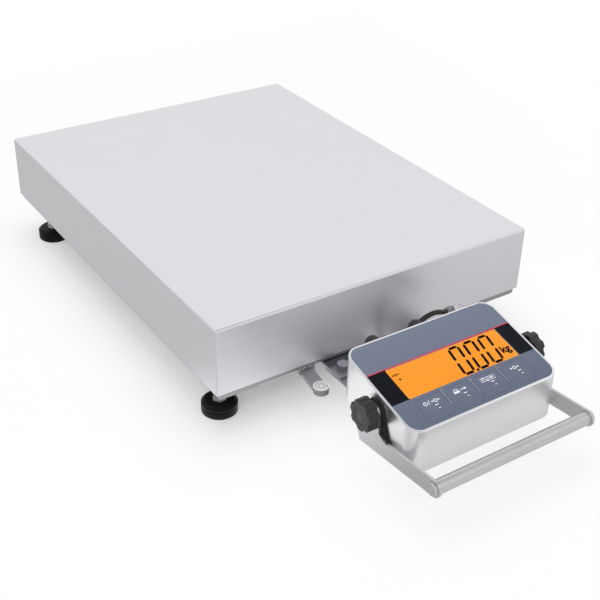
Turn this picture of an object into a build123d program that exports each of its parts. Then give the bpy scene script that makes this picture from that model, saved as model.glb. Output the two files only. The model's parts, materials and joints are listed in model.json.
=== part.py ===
from build123d import *
import os
from math import cos, pi, radians, sin, tan

os.makedirs("parts", exist_ok=True)

# Washdown bench scale, in millimetres. +Z is up, +X runs along the front, and the indicator
# hangs in front of the platform, on the -Y side. The origin is on the floor, in the middle of
# the whole scale's footprint. "Ahead" is a distance in front of the platform's front face.

# Weighing pan: a folded stainless cover
platform_width = 420.0
platform_depth = 550.0
skirt_height = 80.5
pan_sheet = 1.5
pan_bend_radius = 2.6
pan_hem_height = 8.0

# Base frame of rectangular tube
skirt_clearance = 2.5
rail_width = 50.0
rail_height = 25.0
rail_wall = 2.5
rail_corner_radius = 3.0
rail_cap_thickness = 2.0
rail_ground_clearance = 47.0

# Channel between the cross rails that holds the load cell
tray_width = 110.0
tray_sheet = 4.0
tray_bend_radius = 6.0
tray_cable_slot_width = 14.0
tray_cable_slot_length = 50.0
tray_cable_slot_x = 15.0
tray_cable_slot_behind = 7.0
tray_drain_length = 40.0
tray_drain_width = 10.0
tray_drain_x = -30.0
tray_drain_offsets = (-150.0, -90.0, 110.0, 160.0)

# Load cell, a single bar fixed at its rear end and loaded at its front end
cell_length = 150.0
cell_width = 40.0
cell_height = 40.0
cell_hole_radius = 11.0
cell_hole_spacing = 34.0
cell_slot_height = 6.0
cell_spacer_length = 44.0
base_spacer_height = 5.0
top_spacer_height = 4.0
cell_bolt_radius = 4.0
cell_bolt_inset = 12.0
cell_bolt_pitch = 20.0
cell_bolt_depth = 16.0

# Load frame under the pan
load_plate_width = 240.0
load_plate_length = 150.0
load_plate_thickness = 6.0
load_rail_width = 40.0
load_rail_height = 25.0
load_rail_spacing = 160.0
load_cross_length = 380.0
load_cross_inset = 45.0
buffer_radius = 15.0
buffer_height = 4.0
buffer_edge = 18.0
stop_radius = 4.0
stop_gap = 0.9
stop_across_flats = 13.0
stop_nut_height = 6.5
stop_spacing = 240.0

# Levelling feet
foot_radius = 20.3
foot_inset_x = 27.0
foot_inset_y = 44.0
foot_side_height = 12.5
foot_height = 16.0
foot_top_radius = 16.5
foot_groove_height = 8.5
foot_groove_depth = 0.6
foot_socket_depth = 10.0
stud_radius = 5.0
stud_above_rail = 9.0
collar_across_flats = 14.0
collar_height = 6.0
foot_nut_across_flats = 17.0
foot_nut_height = 8.0
running_clearance = 0.05

# Round spirit level on its arm
level_x = -97.5
level_ahead = 26.0
level_radius = 8.8
level_height = 8.0
level_top = 43.0
level_rim = 1.6
level_floor = 1.5
level_ring_height = 0.6
level_tab_width = 20.0
level_arm_width = 15.0
level_arm_thickness = 2.6
level_tab_gap = 1.5
level_tab_drop = 4.0
level_screw_radius = 1.5
level_screw_head_radius = 2.6
level_screw_head = 1.6
level_screw_spacing = 6.4

# Bracket that carries the indicator
bracket_sheet = 3.0
bracket_width = 150.0
mount_plate_reach = 30.0
bracket_slope_start = 48.0
bracket_slope_end = 98.0
bracket_cross_end = 127.0
bracket_cross_height = 30.0
bracket_slot_x = 13.5
bracket_slot_width = 34.0
bracket_slot_start = 8.0
bracket_slot_end = 38.0
bracket_bolt_radius = 4.0
bracket_bolt_ahead = 15.0
bracket_bolt_spacing = 122.0
bracket_bolt_across_flats = 13.0
bracket_bolt_head = 5.0

# Side plates and the bar that joins them
side_plate_thickness = 3.0
bar_radius = 7.5
bar_ahead = 221.5
bar_height = 47.5
bar_wall = 1.5
bar_cap_thickness = 3.0
arm_height = 18.5
arm_slope = 5.5
arm_rear_ahead = 101.0
ear_radius = 11.0
ear_front_ahead = 141.0

# Indicator housing
panel_width = 195.0
panel_depth = 124.0
panel_tilt = 12.9
panel_ahead = 121.0
panel_height = 94.5
panel_corner_radius = 16.0
housing_depth = 50.5
housing_wall = 1.5
housing_rim_width = 2.4
housing_rim_radius = 1.1
label_recess = 0.6
label_thickness = 0.6
cover_flange = 11.0
cover_recess = 5.2
cover_sheet = 2.0
cover_gap = 0.4
gasket_thickness = 1.5
cover_screw_radius = 2.0
cover_screw_head_radius = 3.6
cover_screw_head = 1.5
cover_screw_inset = 5.5

# Tilt pivot, friction pads and hand knobs
pivot_ahead = 122.0
pivot_height = 73.5
pivot_stud_radius = 3.0
pad_margin = 2.0
pad_front_ahead = 146.0
pad_thickness = 2.6
insert_radius = 7.0
insert_length = 11.0
knob_radius = 17.5
knob_lobes = 7
knob_scallop_radius = 5.5
knob_scallop_depth = 2.4
knob_length = 13.0
knob_hub_radius = 10.0
knob_hub_length = 2.0
knob_cap_radius = 9.0
knob_cap_depth = 1.2
knob_bevel = 1.2
stud_seat_wall = 4.0

# Display and keys, measured on the panel from its centre
display_width = 148.0
display_height = 43.0
display_x = 1.3
display_glass = 1.8
backlight_thickness = 7.4
board_width = 160.0
board_height = 100.0
board_thickness = 1.6
board_shift = -4.0
board_post_radius = 3.0
board_post_inset = 4.0
board_screw_radius = 1.6
board_screw_head_radius = 2.8
key_count = 4
key_width = 34.0
key_height = 29.0
key_pitch = 37.0
key_row_edge = 21.5
key_corner = 2.0
key_gap = 0.3
key_travel = 0.35
key_stem_radius = 4.0
switch_size = 6.0
switch_height = 1.5

# Cable glands on the housing's rear wall, and the load cell lead
gland_height = 93.5
gland_thread_radius = 6.0
gland_thread_length = 4.0
gland_x = (-49.0, 9.0)
gland_hex_across_flats = 19.0
gland_hex_length = 6.0
gland_dome_radius = 8.8
gland_dome_length = 12.0
elbow_x = 78.5
elbow_height = 86.5
elbow_radius = 8.0
elbow_reach = 25.5
elbow_lift = 20.0
elbow_outlet = 10.0
elbow_outlet_radius = 6.4
elbow_nut_across_flats = 15.0
elbow_nut_length = 8.0
elbow_sleeve_radius = 5.4
elbow_sleeve_length = 6.0
lead_radius = 2.8
lead_straight = 11.0
lead_entry_inset = 15.0
lead_entry_height = 18.0

# Places that follow from the sizes above
bar_front_ahead = bar_ahead + max(bar_radius, arm_height / 2)
front_y = (bar_front_ahead - platform_depth) / 2
centre_y = front_y + platform_depth / 2
tray_floor = rail_ground_clearance + tray_sheet
rail_top = rail_ground_clearance + rail_height
cell_bottom = tray_floor + base_spacer_height
cell_top = cell_bottom + cell_height
plate_bottom = cell_top + top_spacer_height
load_rail_bottom = plate_bottom + load_plate_thickness
load_rail_top = load_rail_bottom + load_rail_height
pan_top = load_rail_top + buffer_height + pan_sheet
skirt_bottom = pan_top - skirt_height
frame_half_width = platform_width / 2 - pan_sheet - skirt_clearance
frame_half_depth = platform_depth / 2 - pan_sheet - skirt_clearance
rail_inner_x = frame_half_width - rail_width
foot_x = platform_width / 2 - foot_inset_x
foot_y = platform_depth / 2 - foot_inset_y
mount_plate_top = rail_ground_clearance
bracket_top = mount_plate_top - bracket_sheet
ear_inner_x = panel_width / 2 + pad_thickness
ear_outer_x = ear_inner_x + side_plate_thickness
label_seat = label_recess + label_thickness
skin_inner = label_seat + housing_wall
board_top = skin_inner + display_glass + backlight_thickness
switch_top = board_top - switch_height
key_row_y = key_row_edge - panel_depth / 2


def ahead(distance):
    """Y of a point that lies the given distance in front of the platform's front face."""
    return front_y - distance


def on_panel():
    """Frame of the indicator's panel: X across, Y up the slope, Z out of the panel."""
    slope = radians(panel_tilt)
    return Plane(
        origin=(0, ahead(panel_ahead), panel_height),
        x_dir=(1, 0, 0),
        z_dir=(0, -sin(slope), cos(slope)),
    ).location


def box_between(low, high):
    """Box from its lowest corner to its highest corner."""
    size = [high[axis] - low[axis] for axis in range(3)]
    middle = [(high[axis] + low[axis]) / 2 for axis in range(3)]
    return Pos(*middle) * Box(*size)


def cylinder_along(axis, radius, start, end, at):
    """Cylinder from start to end along X, Y or Z; at holds its other two coordinates."""
    length = end - start
    middle = (start + end) / 2
    if axis == "X":
        return Pos(middle, at[0], at[1]) * Rot(0, 90, 0) * Cylinder(radius, length)
    if axis == "Y":
        return Pos(at[0], middle, at[1]) * Rot(90, 0, 0) * Cylinder(radius, length)
    return Pos(at[0], at[1], middle) * Cylinder(radius, length)


def hexagon(across_flats, height):
    """Upright hexagonal prism standing on the XY plane."""
    return extrude(RegularPolygon(across_flats / 2, 6, major_radius=False), height)


def tube_section(width, height, wall, corner):
    """Outline of a rectangular tube with rounded corners."""
    outer = RectangleRounded(width, height, corner)
    inner = RectangleRounded(width - 2 * wall, height - 2 * wall, max(corner - wall, 0.5))
    return outer - inner


def tube_along_x(length, width, height, wall, corner):
    return extrude(Plane.YZ * tube_section(width, height, wall, corner), length / 2, both=True)


def tube_along_y(length, width, height, wall, corner):
    return extrude(Plane.XZ * tube_section(width, height, wall, corner), length / 2, both=True)


def platform_pan():
    """Folded cover: a flat top, four skirts and a closed hem turned inwards at the bottom."""
    middle_z = (pan_top + skirt_bottom) / 2
    block = Pos(0, centre_y, middle_z) * Box(platform_width, platform_depth, skirt_height)
    folds = block.edges().filter_by(Axis.Z) + block.edges().group_by(Axis.Z)[-1]
    shell = fillet(folds, pan_bend_radius)
    inner_radius = max(pan_bend_radius - pan_sheet, 0.3)
    hollow = Pos(0, centre_y, middle_z - pan_sheet) * Box(
        platform_width - 2 * pan_sheet, platform_depth - 2 * pan_sheet, skirt_height)
    inside_folds = hollow.edges().filter_by(Axis.Z) + hollow.edges().group_by(Axis.Z)[-1]
    hollow = fillet(inside_folds, inner_radius)
    hem_outer = RectangleRounded(
        platform_width - 2 * pan_sheet, platform_depth - 2 * pan_sheet, inner_radius)
    hem_inner = Rectangle(platform_width - 4 * pan_sheet, platform_depth - 4 * pan_sheet)
    hem = Pos(0, centre_y, skirt_bottom) * extrude(hem_outer - hem_inner, pan_hem_height)
    return shell - hollow + hem


def foot_places():
    """Name and place of each levelling foot."""
    places = {}
    for end, end_sign in (("front", -1), ("rear", 1)):
        for side, side_sign in (("left", -1), ("right", 1)):
            places[f"{end}_{side}"] = (side_sign * foot_x, centre_y + end_sign * foot_y)
    return places


def base_side_rails():
    """Two rails that run from front to back and carry the feet."""
    rails = []
    for side in (-1, 1):
        length = 2 * (frame_half_depth - rail_cap_thickness)
        rail = tube_along_y(length, rail_width, rail_height, rail_wall, rail_corner_radius)
        x = side * (frame_half_width - rail_width / 2)
        rail = Pos(x, centre_y, rail_ground_clearance + rail_height / 2) * rail
        for foot_place_x, y in foot_places().values():
            if foot_place_x * side > 0:
                hole_radius = stud_radius + running_clearance
                top = rail_top + 1
                rail -= cylinder_along("Z", hole_radius, rail_ground_clearance - 1, top, (foot_place_x, y))
        rails.append(rail)
    return Compound(children=rails)


def rail_end_caps():
    """Plates welded on the four open ends of the side rails."""
    caps = []
    outline = Plane.XZ * RectangleRounded(rail_width, rail_height, rail_corner_radius)
    for side in (-1, 1):
        for end in (-1, 1):
            cap = extrude(outline, rail_cap_thickness / 2, both=True)
            x = side * (frame_half_width - rail_width / 2)
            y = centre_y + end * (frame_half_depth - rail_cap_thickness / 2)
            caps.append(Pos(x, y, rail_ground_clearance + rail_height / 2) * cap)
    return Compound(children=caps)


def cross_rail_places():
    return [centre_y + end * (frame_half_depth - rail_width / 2) for end in (-1, 1)]


def stop_places():
    """Overload stops stand on the cross rails under the load frame's cross members."""
    y_offset = platform_depth / 2 - load_cross_inset
    return [(x * stop_spacing / 2, centre_y + end * y_offset) for x in (-1, 1) for end in (-1, 1)]


def base_cross_rails():
    """Front and rear rails, with tapped holes for the stops and bolt holes for the bracket."""
    rails = []
    for y in cross_rail_places():
        rail = tube_along_x(2 * rail_inner_x, rail_width, rail_height, rail_wall, rail_corner_radius)
        rail = Pos(0, y, rail_ground_clearance + rail_height / 2) * rail
        for stop_x, stop_y in stop_places():
            if abs(stop_y - y) < rail_width / 2:
                top = (stop_x, stop_y)
                rail -= cylinder_along("Z", stop_radius, rail_top - rail_wall - 1, rail_top + 1, top)
        rails.append(rail)
    return Compound(children=rails)


def load_cell_tray():
    """Folded channel between the cross rails; its floor carries the load cell's fixed end."""
    length = 2 * (frame_half_depth - rail_width)
    outer = Pos(0, rail_height / 2) * Rectangle(tray_width, rail_height)
    outer = fillet(outer.vertices().group_by(Axis.Y)[0], tray_bend_radius)
    inner_width = tray_width - 2 * tray_sheet
    inner = Pos(0, tray_sheet + rail_height / 2) * Rectangle(inner_width, rail_height)
    inner = fillet(inner.vertices().group_by(Axis.Y)[0], tray_bend_radius - tray_sheet)
    tray = Pos(0, centre_y, rail_ground_clearance) * extrude(Plane.XZ * (outer - inner), length / 2, both=True)
    for y in fixed_bolt_places():
        tray -= cylinder_along("Z", cell_bolt_radius + 0.3, rail_ground_clearance - 1, tray_floor + 1, (0, y))
    cable_outline = Rot(0, 0, 90) * SlotOverall(tray_cable_slot_length, tray_cable_slot_width)
    cable_y = centre_y - length / 2 + tray_cable_slot_behind + tray_cable_slot_length / 2
    tray -= Pos(tray_cable_slot_x, cable_y, rail_ground_clearance - 1) * extrude(
        cable_outline, tray_sheet + 2)
    drain = SlotOverall(tray_drain_length, tray_drain_width)
    for offset in tray_drain_offsets:
        tray -= Pos(tray_drain_x, centre_y + offset, rail_ground_clearance - 1) * extrude(drain, tray_sheet + 2)
    return tray


def fixed_bolt_places():
    rear = centre_y + cell_length / 2
    return [rear - cell_bolt_inset, rear - cell_bolt_inset - cell_bolt_pitch]


def live_bolt_places():
    front = centre_y - cell_length / 2
    return [front + cell_bolt_inset, front + cell_bolt_inset + cell_bolt_pitch]


def load_cell():
    """Bar with two round holes joined by a slot, so that it bends as a parallelogram."""
    bar = Pos(0, centre_y, (cell_bottom + cell_top) / 2) * Box(cell_width, cell_length, cell_height)
    bar = chamfer(bar.edges().filter_by(Axis.Y), 1.0)
    middle = (cell_bottom + cell_top) / 2
    for side in (-1, 1):
        y = centre_y + side * cell_hole_spacing / 2
        bar -= cylinder_along("X", cell_hole_radius, -cell_width, cell_width, (y, middle))
    bar -= Pos(0, centre_y, middle) * Box(2 * cell_width, cell_hole_spacing, cell_slot_height)
    for y in fixed_bolt_places():
        bar -= cylinder_along("Z", cell_bolt_radius, cell_bottom - 1, cell_bottom + cell_bolt_depth, (0, y))
    for y in live_bolt_places():
        bar -= cylinder_along("Z", cell_bolt_radius, cell_top - cell_bolt_depth, cell_top + 1, (0, y))
    return bar


def load_cell_spacers():
    """One spacer under the load cell's fixed end, and one on top of its live end."""
    under = cell_spacer(tray_floor, base_spacer_height, fixed_bolt_places())
    over = cell_spacer(cell_top, top_spacer_height, live_bolt_places())
    return Compound(children=[under, over])


def cell_spacer(low, height, bolts):
    y = sum(bolts) / len(bolts)
    plate = Pos(0, y, low + height / 2) * Box(cell_width, cell_spacer_length, height)
    for bolt_y in bolts:
        plate -= cylinder_along("Z", cell_bolt_radius + 0.3, low - 1, low + height + 1, (0, bolt_y))
    return plate


def socket_screw(radius, length):
    """Cap screw standing on its tip: shank from Z 0 up, head above it, with a hex socket."""
    head_radius = 1.6 * radius
    head_height = 2 * radius * 0.9
    screw = Pos(0, 0, length / 2) * Cylinder(radius, length)
    head = Pos(0, 0, length + head_height / 2) * Cylinder(head_radius, head_height)
    head = chamfer(head.edges().group_by(Axis.Z)[-1], 0.5)
    socket = Pos(0, 0, length + head_height * 0.45) * hexagon(1.5 * radius, head_height)
    return screw + head - socket


def load_cell_bolts():
    """Screws into the load cell, from below at its fixed end and from above at its live end."""
    screws = []
    low_tip = cell_bottom + cell_bolt_depth - 1
    high_tip = cell_top - cell_bolt_depth + 1
    for y in fixed_bolt_places():
        screw = socket_screw(cell_bolt_radius, low_tip - rail_ground_clearance)
        screws.append(Pos(0, y, low_tip) * Rot(180, 0, 0) * screw)
    for y in live_bolt_places():
        screw = socket_screw(cell_bolt_radius, load_rail_bottom - high_tip)
        screws.append(Pos(0, y, high_tip) * screw)
    return Compound(children=screws)


def load_plate():
    """Plate on the load cell's live end, under both long rails of the load frame."""
    middle = plate_bottom + load_plate_thickness / 2
    plate = Pos(0, centre_y, middle) * Box(load_plate_width, load_plate_length, load_plate_thickness)
    plate = chamfer(plate.edges().filter_by(Axis.Z), 15)
    for y in live_bolt_places():
        plate -= cylinder_along("Z", cell_bolt_radius + 0.3, plate_bottom - 1, load_rail_bottom + 1, (0, y))
    return plate


def load_cross_places():
    return [centre_y + end * (platform_depth / 2 - load_cross_inset) for end in (-1, 1)]


def load_frame_cross_rails():
    """Cross members whose ends carry the pan's rubber buffers."""
    rails = []
    for y in load_cross_places():
        rail = tube_along_x(
            load_cross_length, load_rail_width, load_rail_height, rail_wall, rail_corner_radius)
        rails.append(Pos(0, y, load_rail_bottom + load_rail_height / 2) * rail)
    return Compound(children=rails)


def load_frame_long_rails():
    """Long members welded between the cross members, on top of the load plate."""
    rails = []
    near, far = load_cross_places()
    length = far - near - load_rail_width
    for side in (-1, 1):
        rail = tube_along_y(length, load_rail_width, load_rail_height, rail_wall, rail_corner_radius)
        x = side * load_rail_spacing / 2
        rails.append(Pos(x, centre_y, load_rail_bottom + load_rail_height / 2) * rail)
    return Compound(children=rails)


def load_frame_end_caps():
    caps = []
    outline = Plane.YZ * RectangleRounded(load_rail_width, load_rail_height, rail_corner_radius)
    for y in load_cross_places():
        for side in (-1, 1):
            x = side * (load_cross_length + rail_cap_thickness) / 2
            cap = extrude(outline, rail_cap_thickness / 2, both=True)
            caps.append(Pos(x, y, load_rail_bottom + load_rail_height / 2) * cap)
    return Compound(children=caps)


def pan_buffers():
    """Rubber pads with a turned-down rim, on which the pan rests."""
    pads = []
    for y in load_cross_places():
        for side in (-1, 1):
            x = side * (load_cross_length / 2 - buffer_edge)
            pad = Pos(x, y, load_rail_top + buffer_height / 2) * Cylinder(buffer_radius, buffer_height)
            pads.append(chamfer(pad.edges().group_by(Axis.Z)[-1], 1.2))
    return Compound(children=pads)


def overload_stops():
    """Screws in the cross rails that catch the load frame just before the cell is overloaded."""
    stops = []
    top = load_rail_bottom - stop_gap
    for x, y in stop_places():
        shank = cylinder_along("Z", stop_radius, rail_top - rail_wall, top - 2, (x, y))
        head = Pos(x, y, top - 2) * hexagon(stop_across_flats, 2)
        nut = Pos(x, y, rail_top) * hexagon(stop_across_flats, stop_nut_height)
        stops.append(shank + head + nut)
    return Compound(children=stops)


def foot_pad(x, y):
    """Moulded foot with a sloped shoulder and a groove round its side."""
    edge = 1.5
    groove_low = foot_groove_height - 0.5
    groove_high = foot_groove_height + 0.5
    outline = Polyline(
        (0, 0), (foot_radius - edge, 0), (foot_radius, edge), (foot_radius, groove_low),
        (foot_radius - foot_groove_depth, groove_low), (foot_radius - foot_groove_depth, groove_high),
        (foot_radius, groove_high), (foot_radius, foot_side_height), (foot_top_radius, foot_height),
        (stud_radius, foot_height), (stud_radius, foot_height - foot_socket_depth),
        (0, foot_height - foot_socket_depth), (0, 0))
    return Pos(x, y, 0) * revolve(Plane.XZ * make_face(outline), Axis.Z)


def foot_stud(x, y):
    """Threaded stud with a spanner collar, pressed into the foot."""
    top = rail_top + stud_above_rail
    stud = cylinder_along("Z", stud_radius, foot_height - foot_socket_depth, top, (x, y))
    stud = chamfer(stud.edges().group_by(Axis.Z)[-1], 1.0)
    return stud + Pos(x, y, foot_height) * hexagon(collar_across_flats, collar_height)


def foot_lock_nuts():
    """Nuts tightened up against the rails' undersides."""
    nuts = []
    for x, y in foot_places().values():
        nut = Pos(x, y, rail_ground_clearance - foot_nut_height) * hexagon(foot_nut_across_flats, foot_nut_height)
        bore = cylinder_along(
            "Z", stud_radius + running_clearance, 0, rail_ground_clearance + 1, (x, y))
        nuts.append(nut - bore)
    return Compound(children=nuts)


def level_screw_places():
    return [level_x + side * level_screw_spacing / 2 for side in (-1, 1)]


def rail_face_ahead():
    """How far ahead the front rail's face is; it is negative, as it lies under the pan."""
    return -(pan_sheet + skirt_clearance)


def level_screw_height():
    """Middle of the strip of rail face that shows below the pan."""
    return (rail_ground_clearance + skirt_bottom - level_tab_gap) / 2


def level_holder():
    """Moulded arm: a tab on the front rail's face and a tongue that ends in the vial's cup."""
    face = rail_face_ahead()
    tab_outer = ahead(face + level_arm_thickness)
    tab_bottom = rail_ground_clearance - level_tab_drop
    tab = box_between(
        (level_x - level_tab_width / 2, tab_outer, tab_bottom),
        (level_x + level_tab_width / 2, ahead(face), skirt_bottom - level_tab_gap))
    tab = fillet(tab.edges().filter_by(Axis.Y), 2.0)
    cup_bottom = level_top - level_height
    slope = Polyline(
        (ahead(face), rail_ground_clearance), (ahead(face), tab_bottom),
        (ahead(level_ahead), cup_bottom),
        (ahead(level_ahead), cup_bottom + 2 * level_arm_thickness),
        (tab_outer, rail_ground_clearance), (ahead(face), rail_ground_clearance))
    tongue = extrude(Plane.YZ * make_face(slope), level_arm_width / 2, both=True)
    place = (level_x, ahead(level_ahead))
    cup = cylinder_along("Z", level_radius, cup_bottom, level_top - level_ring_height, place)
    holder = tab + Pos(level_x, 0, 0) * tongue + cup
    inner = level_radius - level_rim
    holder -= cylinder_along("Z", inner, cup_bottom + level_floor, level_top + 1, place)
    for x in level_screw_places():
        place = (x, level_screw_height())
        holder -= cylinder_along("Y", level_screw_radius, tab_outer - 1, ahead(face) + 1, place)
    return holder


def level_vial():
    """Liquid capsule with a domed glass, seated in the holder's cup."""
    inner = level_radius - level_rim
    bottom = level_top - level_height + level_floor
    vial = cylinder_along("Z", inner, bottom, level_top - 0.4, (level_x, ahead(level_ahead)))
    return chamfer(vial.edges().group_by(Axis.Z)[-1], 0.6)


def level_ring():
    """White bezel that holds the vial in its cup."""
    low = level_top - level_ring_height
    outline = Circle(level_radius) - Circle(level_radius - level_rim)
    ring = Pos(level_x, ahead(level_ahead), low) * extrude(outline, level_ring_height)
    return ring


def level_screws():
    """Pan-head screws through the holder's tab into the front rail."""
    screws = []
    outer = rail_face_ahead() + level_arm_thickness
    for x in level_screw_places():
        place = (x, level_screw_height())
        shank = cylinder_along("Y", level_screw_radius, ahead(outer), ahead(outer) + level_arm_thickness, place)
        head_start = ahead(outer + level_screw_head)
        head = cylinder_along("Y", level_screw_head_radius, head_start, ahead(outer), place)
        head = chamfer(head.edges().group_by(Axis.Y)[0], level_screw_head / 2)
        screws.append(shank + head)
    return Compound(children=screws)


def bracket_bolt_places():
    return [(side * bracket_bolt_spacing / 2, ahead(bracket_bolt_ahead)) for side in (-1, 1)]


def cable_slot(low, high):
    """Opening through which the load cell lead drops below the bracket."""
    return box_between(
        (bracket_slot_x - bracket_slot_width / 2, ahead(bracket_slot_end), low),
        (bracket_slot_x + bracket_slot_width / 2, ahead(bracket_slot_start), high))


def mount_plate():
    """Plate welded under the front rail, reaching out in front of it."""
    low = mount_plate_top - bracket_sheet
    plate = box_between(
        (-bracket_width / 2, ahead(mount_plate_reach), low),
        (bracket_width / 2, ahead(rail_face_ahead() - rail_width), mount_plate_top))
    plate -= cable_slot(low - 1, mount_plate_top + 1)
    for place in bracket_bolt_places():
        plate -= cylinder_along("Z", bracket_bolt_radius + 0.3, low - 1, mount_plate_top + 1, place)
    return plate


def indicator_bracket():
    """Bent sheet: bolted under the mount plate, stepped down and spread out under the housing."""
    low = bracket_top - bracket_sheet
    cross = bracket_cross_height
    profile = Polyline(
        (ahead(2), bracket_top), (ahead(bracket_slope_start), bracket_top),
        (ahead(bracket_slope_end), cross), (ahead(bracket_cross_end), cross),
        (ahead(bracket_cross_end), cross - bracket_sheet), (ahead(bracket_slope_end), cross - bracket_sheet),
        (ahead(bracket_slope_start), low), (ahead(2), low), (ahead(2), bracket_top))
    strip = extrude(Plane.YZ * make_face(profile), bracket_width / 2, both=True)
    cross_bar = box_between(
        (-ear_inner_x, ahead(bracket_cross_end), cross - bracket_sheet),
        (ear_inner_x, ahead(arm_rear_ahead + 2), cross))
    bracket = strip + cross_bar
    bracket -= cable_slot(low - 30, bracket_top + 1)
    for place in bracket_bolt_places():
        bracket -= cylinder_along("Z", bracket_bolt_radius + 0.3, low - 1, bracket_top + 1, place)
    return bracket


def bracket_bolts():
    """Hexagon bolts through the mount plate and the bracket, with nuts below."""
    bolts = []
    nut_top = bracket_top - bracket_sheet
    for x, y in bracket_bolt_places():
        head = Pos(x, y, mount_plate_top) * hexagon(bracket_bolt_across_flats, bracket_bolt_head)
        nut = Pos(x, y, nut_top - bracket_bolt_head) * hexagon(bracket_bolt_across_flats, bracket_bolt_head)
        shank = cylinder_along(
            "Z", bracket_bolt_radius, nut_top - bracket_bolt_head - 2, mount_plate_top, (x, y))
        bolts.append(head + nut + shank)
    return Compound(children=bolts)


def arm_top(distance):
    """Height of the arm's upper edge, which slopes down towards the back."""
    return bar_height + arm_height / 2 - (bar_ahead - distance) * tan(radians(arm_slope))


def side_plate(side):
    """Side plate: an ear with the pivot hole, and a long arm that carries the bar."""
    half = arm_height / 2
    rear = arm_rear_ahead
    ear = Polyline(
        (ahead(rear + 4), arm_top(rear) - arm_height), (ahead(rear - 1), arm_top(rear) - 5),
        (ahead(rear), arm_top(rear) + 6), (ahead(pivot_ahead - ear_radius), pivot_height + 3),
        (ahead(pivot_ahead), pivot_height), (ahead(pivot_ahead + ear_radius), pivot_height - 2),
        (ahead(ear_front_ahead - 6), arm_top(ear_front_ahead) + 5),
        (ahead(ear_front_ahead + 4), arm_top(ear_front_ahead + 4)),
        (ahead(bar_ahead), arm_top(bar_ahead)), (ahead(bar_ahead), arm_top(bar_ahead) - arm_height),
        (ahead(rear + 4), arm_top(rear) - arm_height))
    outline = make_face(ear)
    outline += Pos(ahead(pivot_ahead), pivot_height) * Circle(ear_radius)
    outline += Pos(ahead(bar_ahead), bar_height) * Circle(half)
    outline -= Pos(ahead(pivot_ahead), pivot_height) * Circle(pivot_stud_radius + running_clearance)
    outline -= Pos(ahead(bar_ahead), bar_height) * Circle(bar_radius)
    plate = extrude(Plane.YZ * outline, side_plate_thickness / 2, both=True)
    return Pos(side * (ear_inner_x + side_plate_thickness / 2), 0, 0) * plate


def handle_bar():
    """Round tube through both side plates."""
    outline = Plane.YZ * (Circle(bar_radius) - Circle(bar_radius - bar_wall))
    return Pos(0, ahead(bar_ahead), bar_height) * extrude(outline, ear_outer_x, both=True)


def handle_end_caps():
    caps = []
    for side in (-1, 1):
        cap = Rot(0, 90, 0) * Cylinder(bar_radius, bar_cap_thickness)
        face = Axis.X if side > 0 else Axis((0, 0, 0), (-1, 0, 0))
        cap = chamfer(cap.edges().group_by(face)[-1], 1.0)
        x = side * (ear_outer_x + bar_cap_thickness / 2)
        caps.append(Pos(x, ahead(bar_ahead), bar_height) * cap)
    return Compound(children=caps)


def housing_block(inset, top, bottom):
    """Upright walls with rounded corners, cut off by two planes parallel to the panel."""
    run = panel_depth * cos(radians(panel_tilt))
    corner = max(panel_corner_radius - inset, 1.0)
    plan = RectangleRounded(panel_width - 2 * inset, run - 2 * inset, corner)
    column = Pos(0, ahead(panel_ahead), 0) * extrude(plan, 2 * panel_height)
    slab = on_panel() * Pos(0, 0, -(top + bottom) / 2) * Box(
        2 * panel_width, 2 * panel_depth, bottom - top)
    return column & slab


def key_places():
    return [display_x + (index - (key_count - 1) / 2) * key_pitch for index in range(key_count)]


def panel_cutter(width, height, radius, x, y, top, bottom):
    """Rounded block square to the panel, from depth top to depth bottom."""
    outline = RectangleRounded(width, height, radius)
    return on_panel() * Pos(x, y, -bottom) * extrude(outline, bottom - top)


def panel_cylinder(radius, x, y, top, bottom):
    return on_panel() * Pos(x, y, -(top + bottom) / 2) * Cylinder(radius, bottom - top)


def rear_wall_y():
    """Outer face of the housing's rear wall."""
    return ahead(panel_ahead) + panel_depth * cos(radians(panel_tilt)) / 2


def rear_wall_holes():
    return [*((x, gland_height) for x in gland_x), (elbow_x, elbow_height)]


def indicator_housing():
    """Drawn shell: raised rim, recessed front skin, upright walls and a flange for the cover."""
    shell = housing_block(0, 0, housing_depth)
    rim_edges = shell.faces().sort_by(Axis.Z)[-1].edges()
    shell = fillet(rim_edges, housing_rim_radius)
    shell -= housing_block(housing_rim_width, -2, label_seat)
    shell -= housing_block(housing_wall, skin_inner, housing_depth - cover_recess - housing_wall)
    shell -= housing_block(housing_wall, housing_depth - cover_recess, housing_depth + 2)
    shell -= housing_block(cover_flange, housing_depth - cover_recess - housing_wall - 1, housing_depth)
    shell -= panel_cutter(
        display_width, display_height, 2, display_x, 0, label_recess, skin_inner + 1)
    for x in key_places():
        pocket = panel_cutter(
            key_width + 2 * key_gap, key_height + 2 * key_gap, key_corner + key_gap, x, key_row_y,
            0, label_seat + 0.5)
        shell -= pocket
        shell -= panel_cylinder(key_stem_radius + key_gap, x, key_row_y, 0, skin_inner + 1)
    for side in (-1, 1):
        start, end = sorted((side * panel_width / 4, side * panel_width))
        place = (ahead(pivot_ahead), pivot_height)
        shell -= cylinder_along("X", pivot_stud_radius + 0.3, start, end, place)
    wall = rear_wall_y()
    for x, height in rear_wall_holes():
        shell -= cylinder_along("Y", gland_thread_radius, wall - 8, wall + 8, (x, height))
    return shell


def front_label():
    """Printed overlay in the rim, with the display window and the keys cut out of it."""
    label = housing_block(housing_rim_width, label_recess, label_seat)
    label -= panel_cutter(
        display_width, display_height, 2, display_x, 0, label_recess - 1, label_seat + 1)
    for x in key_places():
        label -= panel_cutter(
            key_width + 2 * key_gap, key_height + 2 * key_gap, key_corner + key_gap, x, key_row_y,
            label_recess - 1, label_seat + 1)
    return label


def display_window():
    """Clear pane that fills the overlay's opening down to the display."""
    return panel_cutter(
        display_width, display_height, 2, display_x, 0, label_recess, skin_inner)


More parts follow.
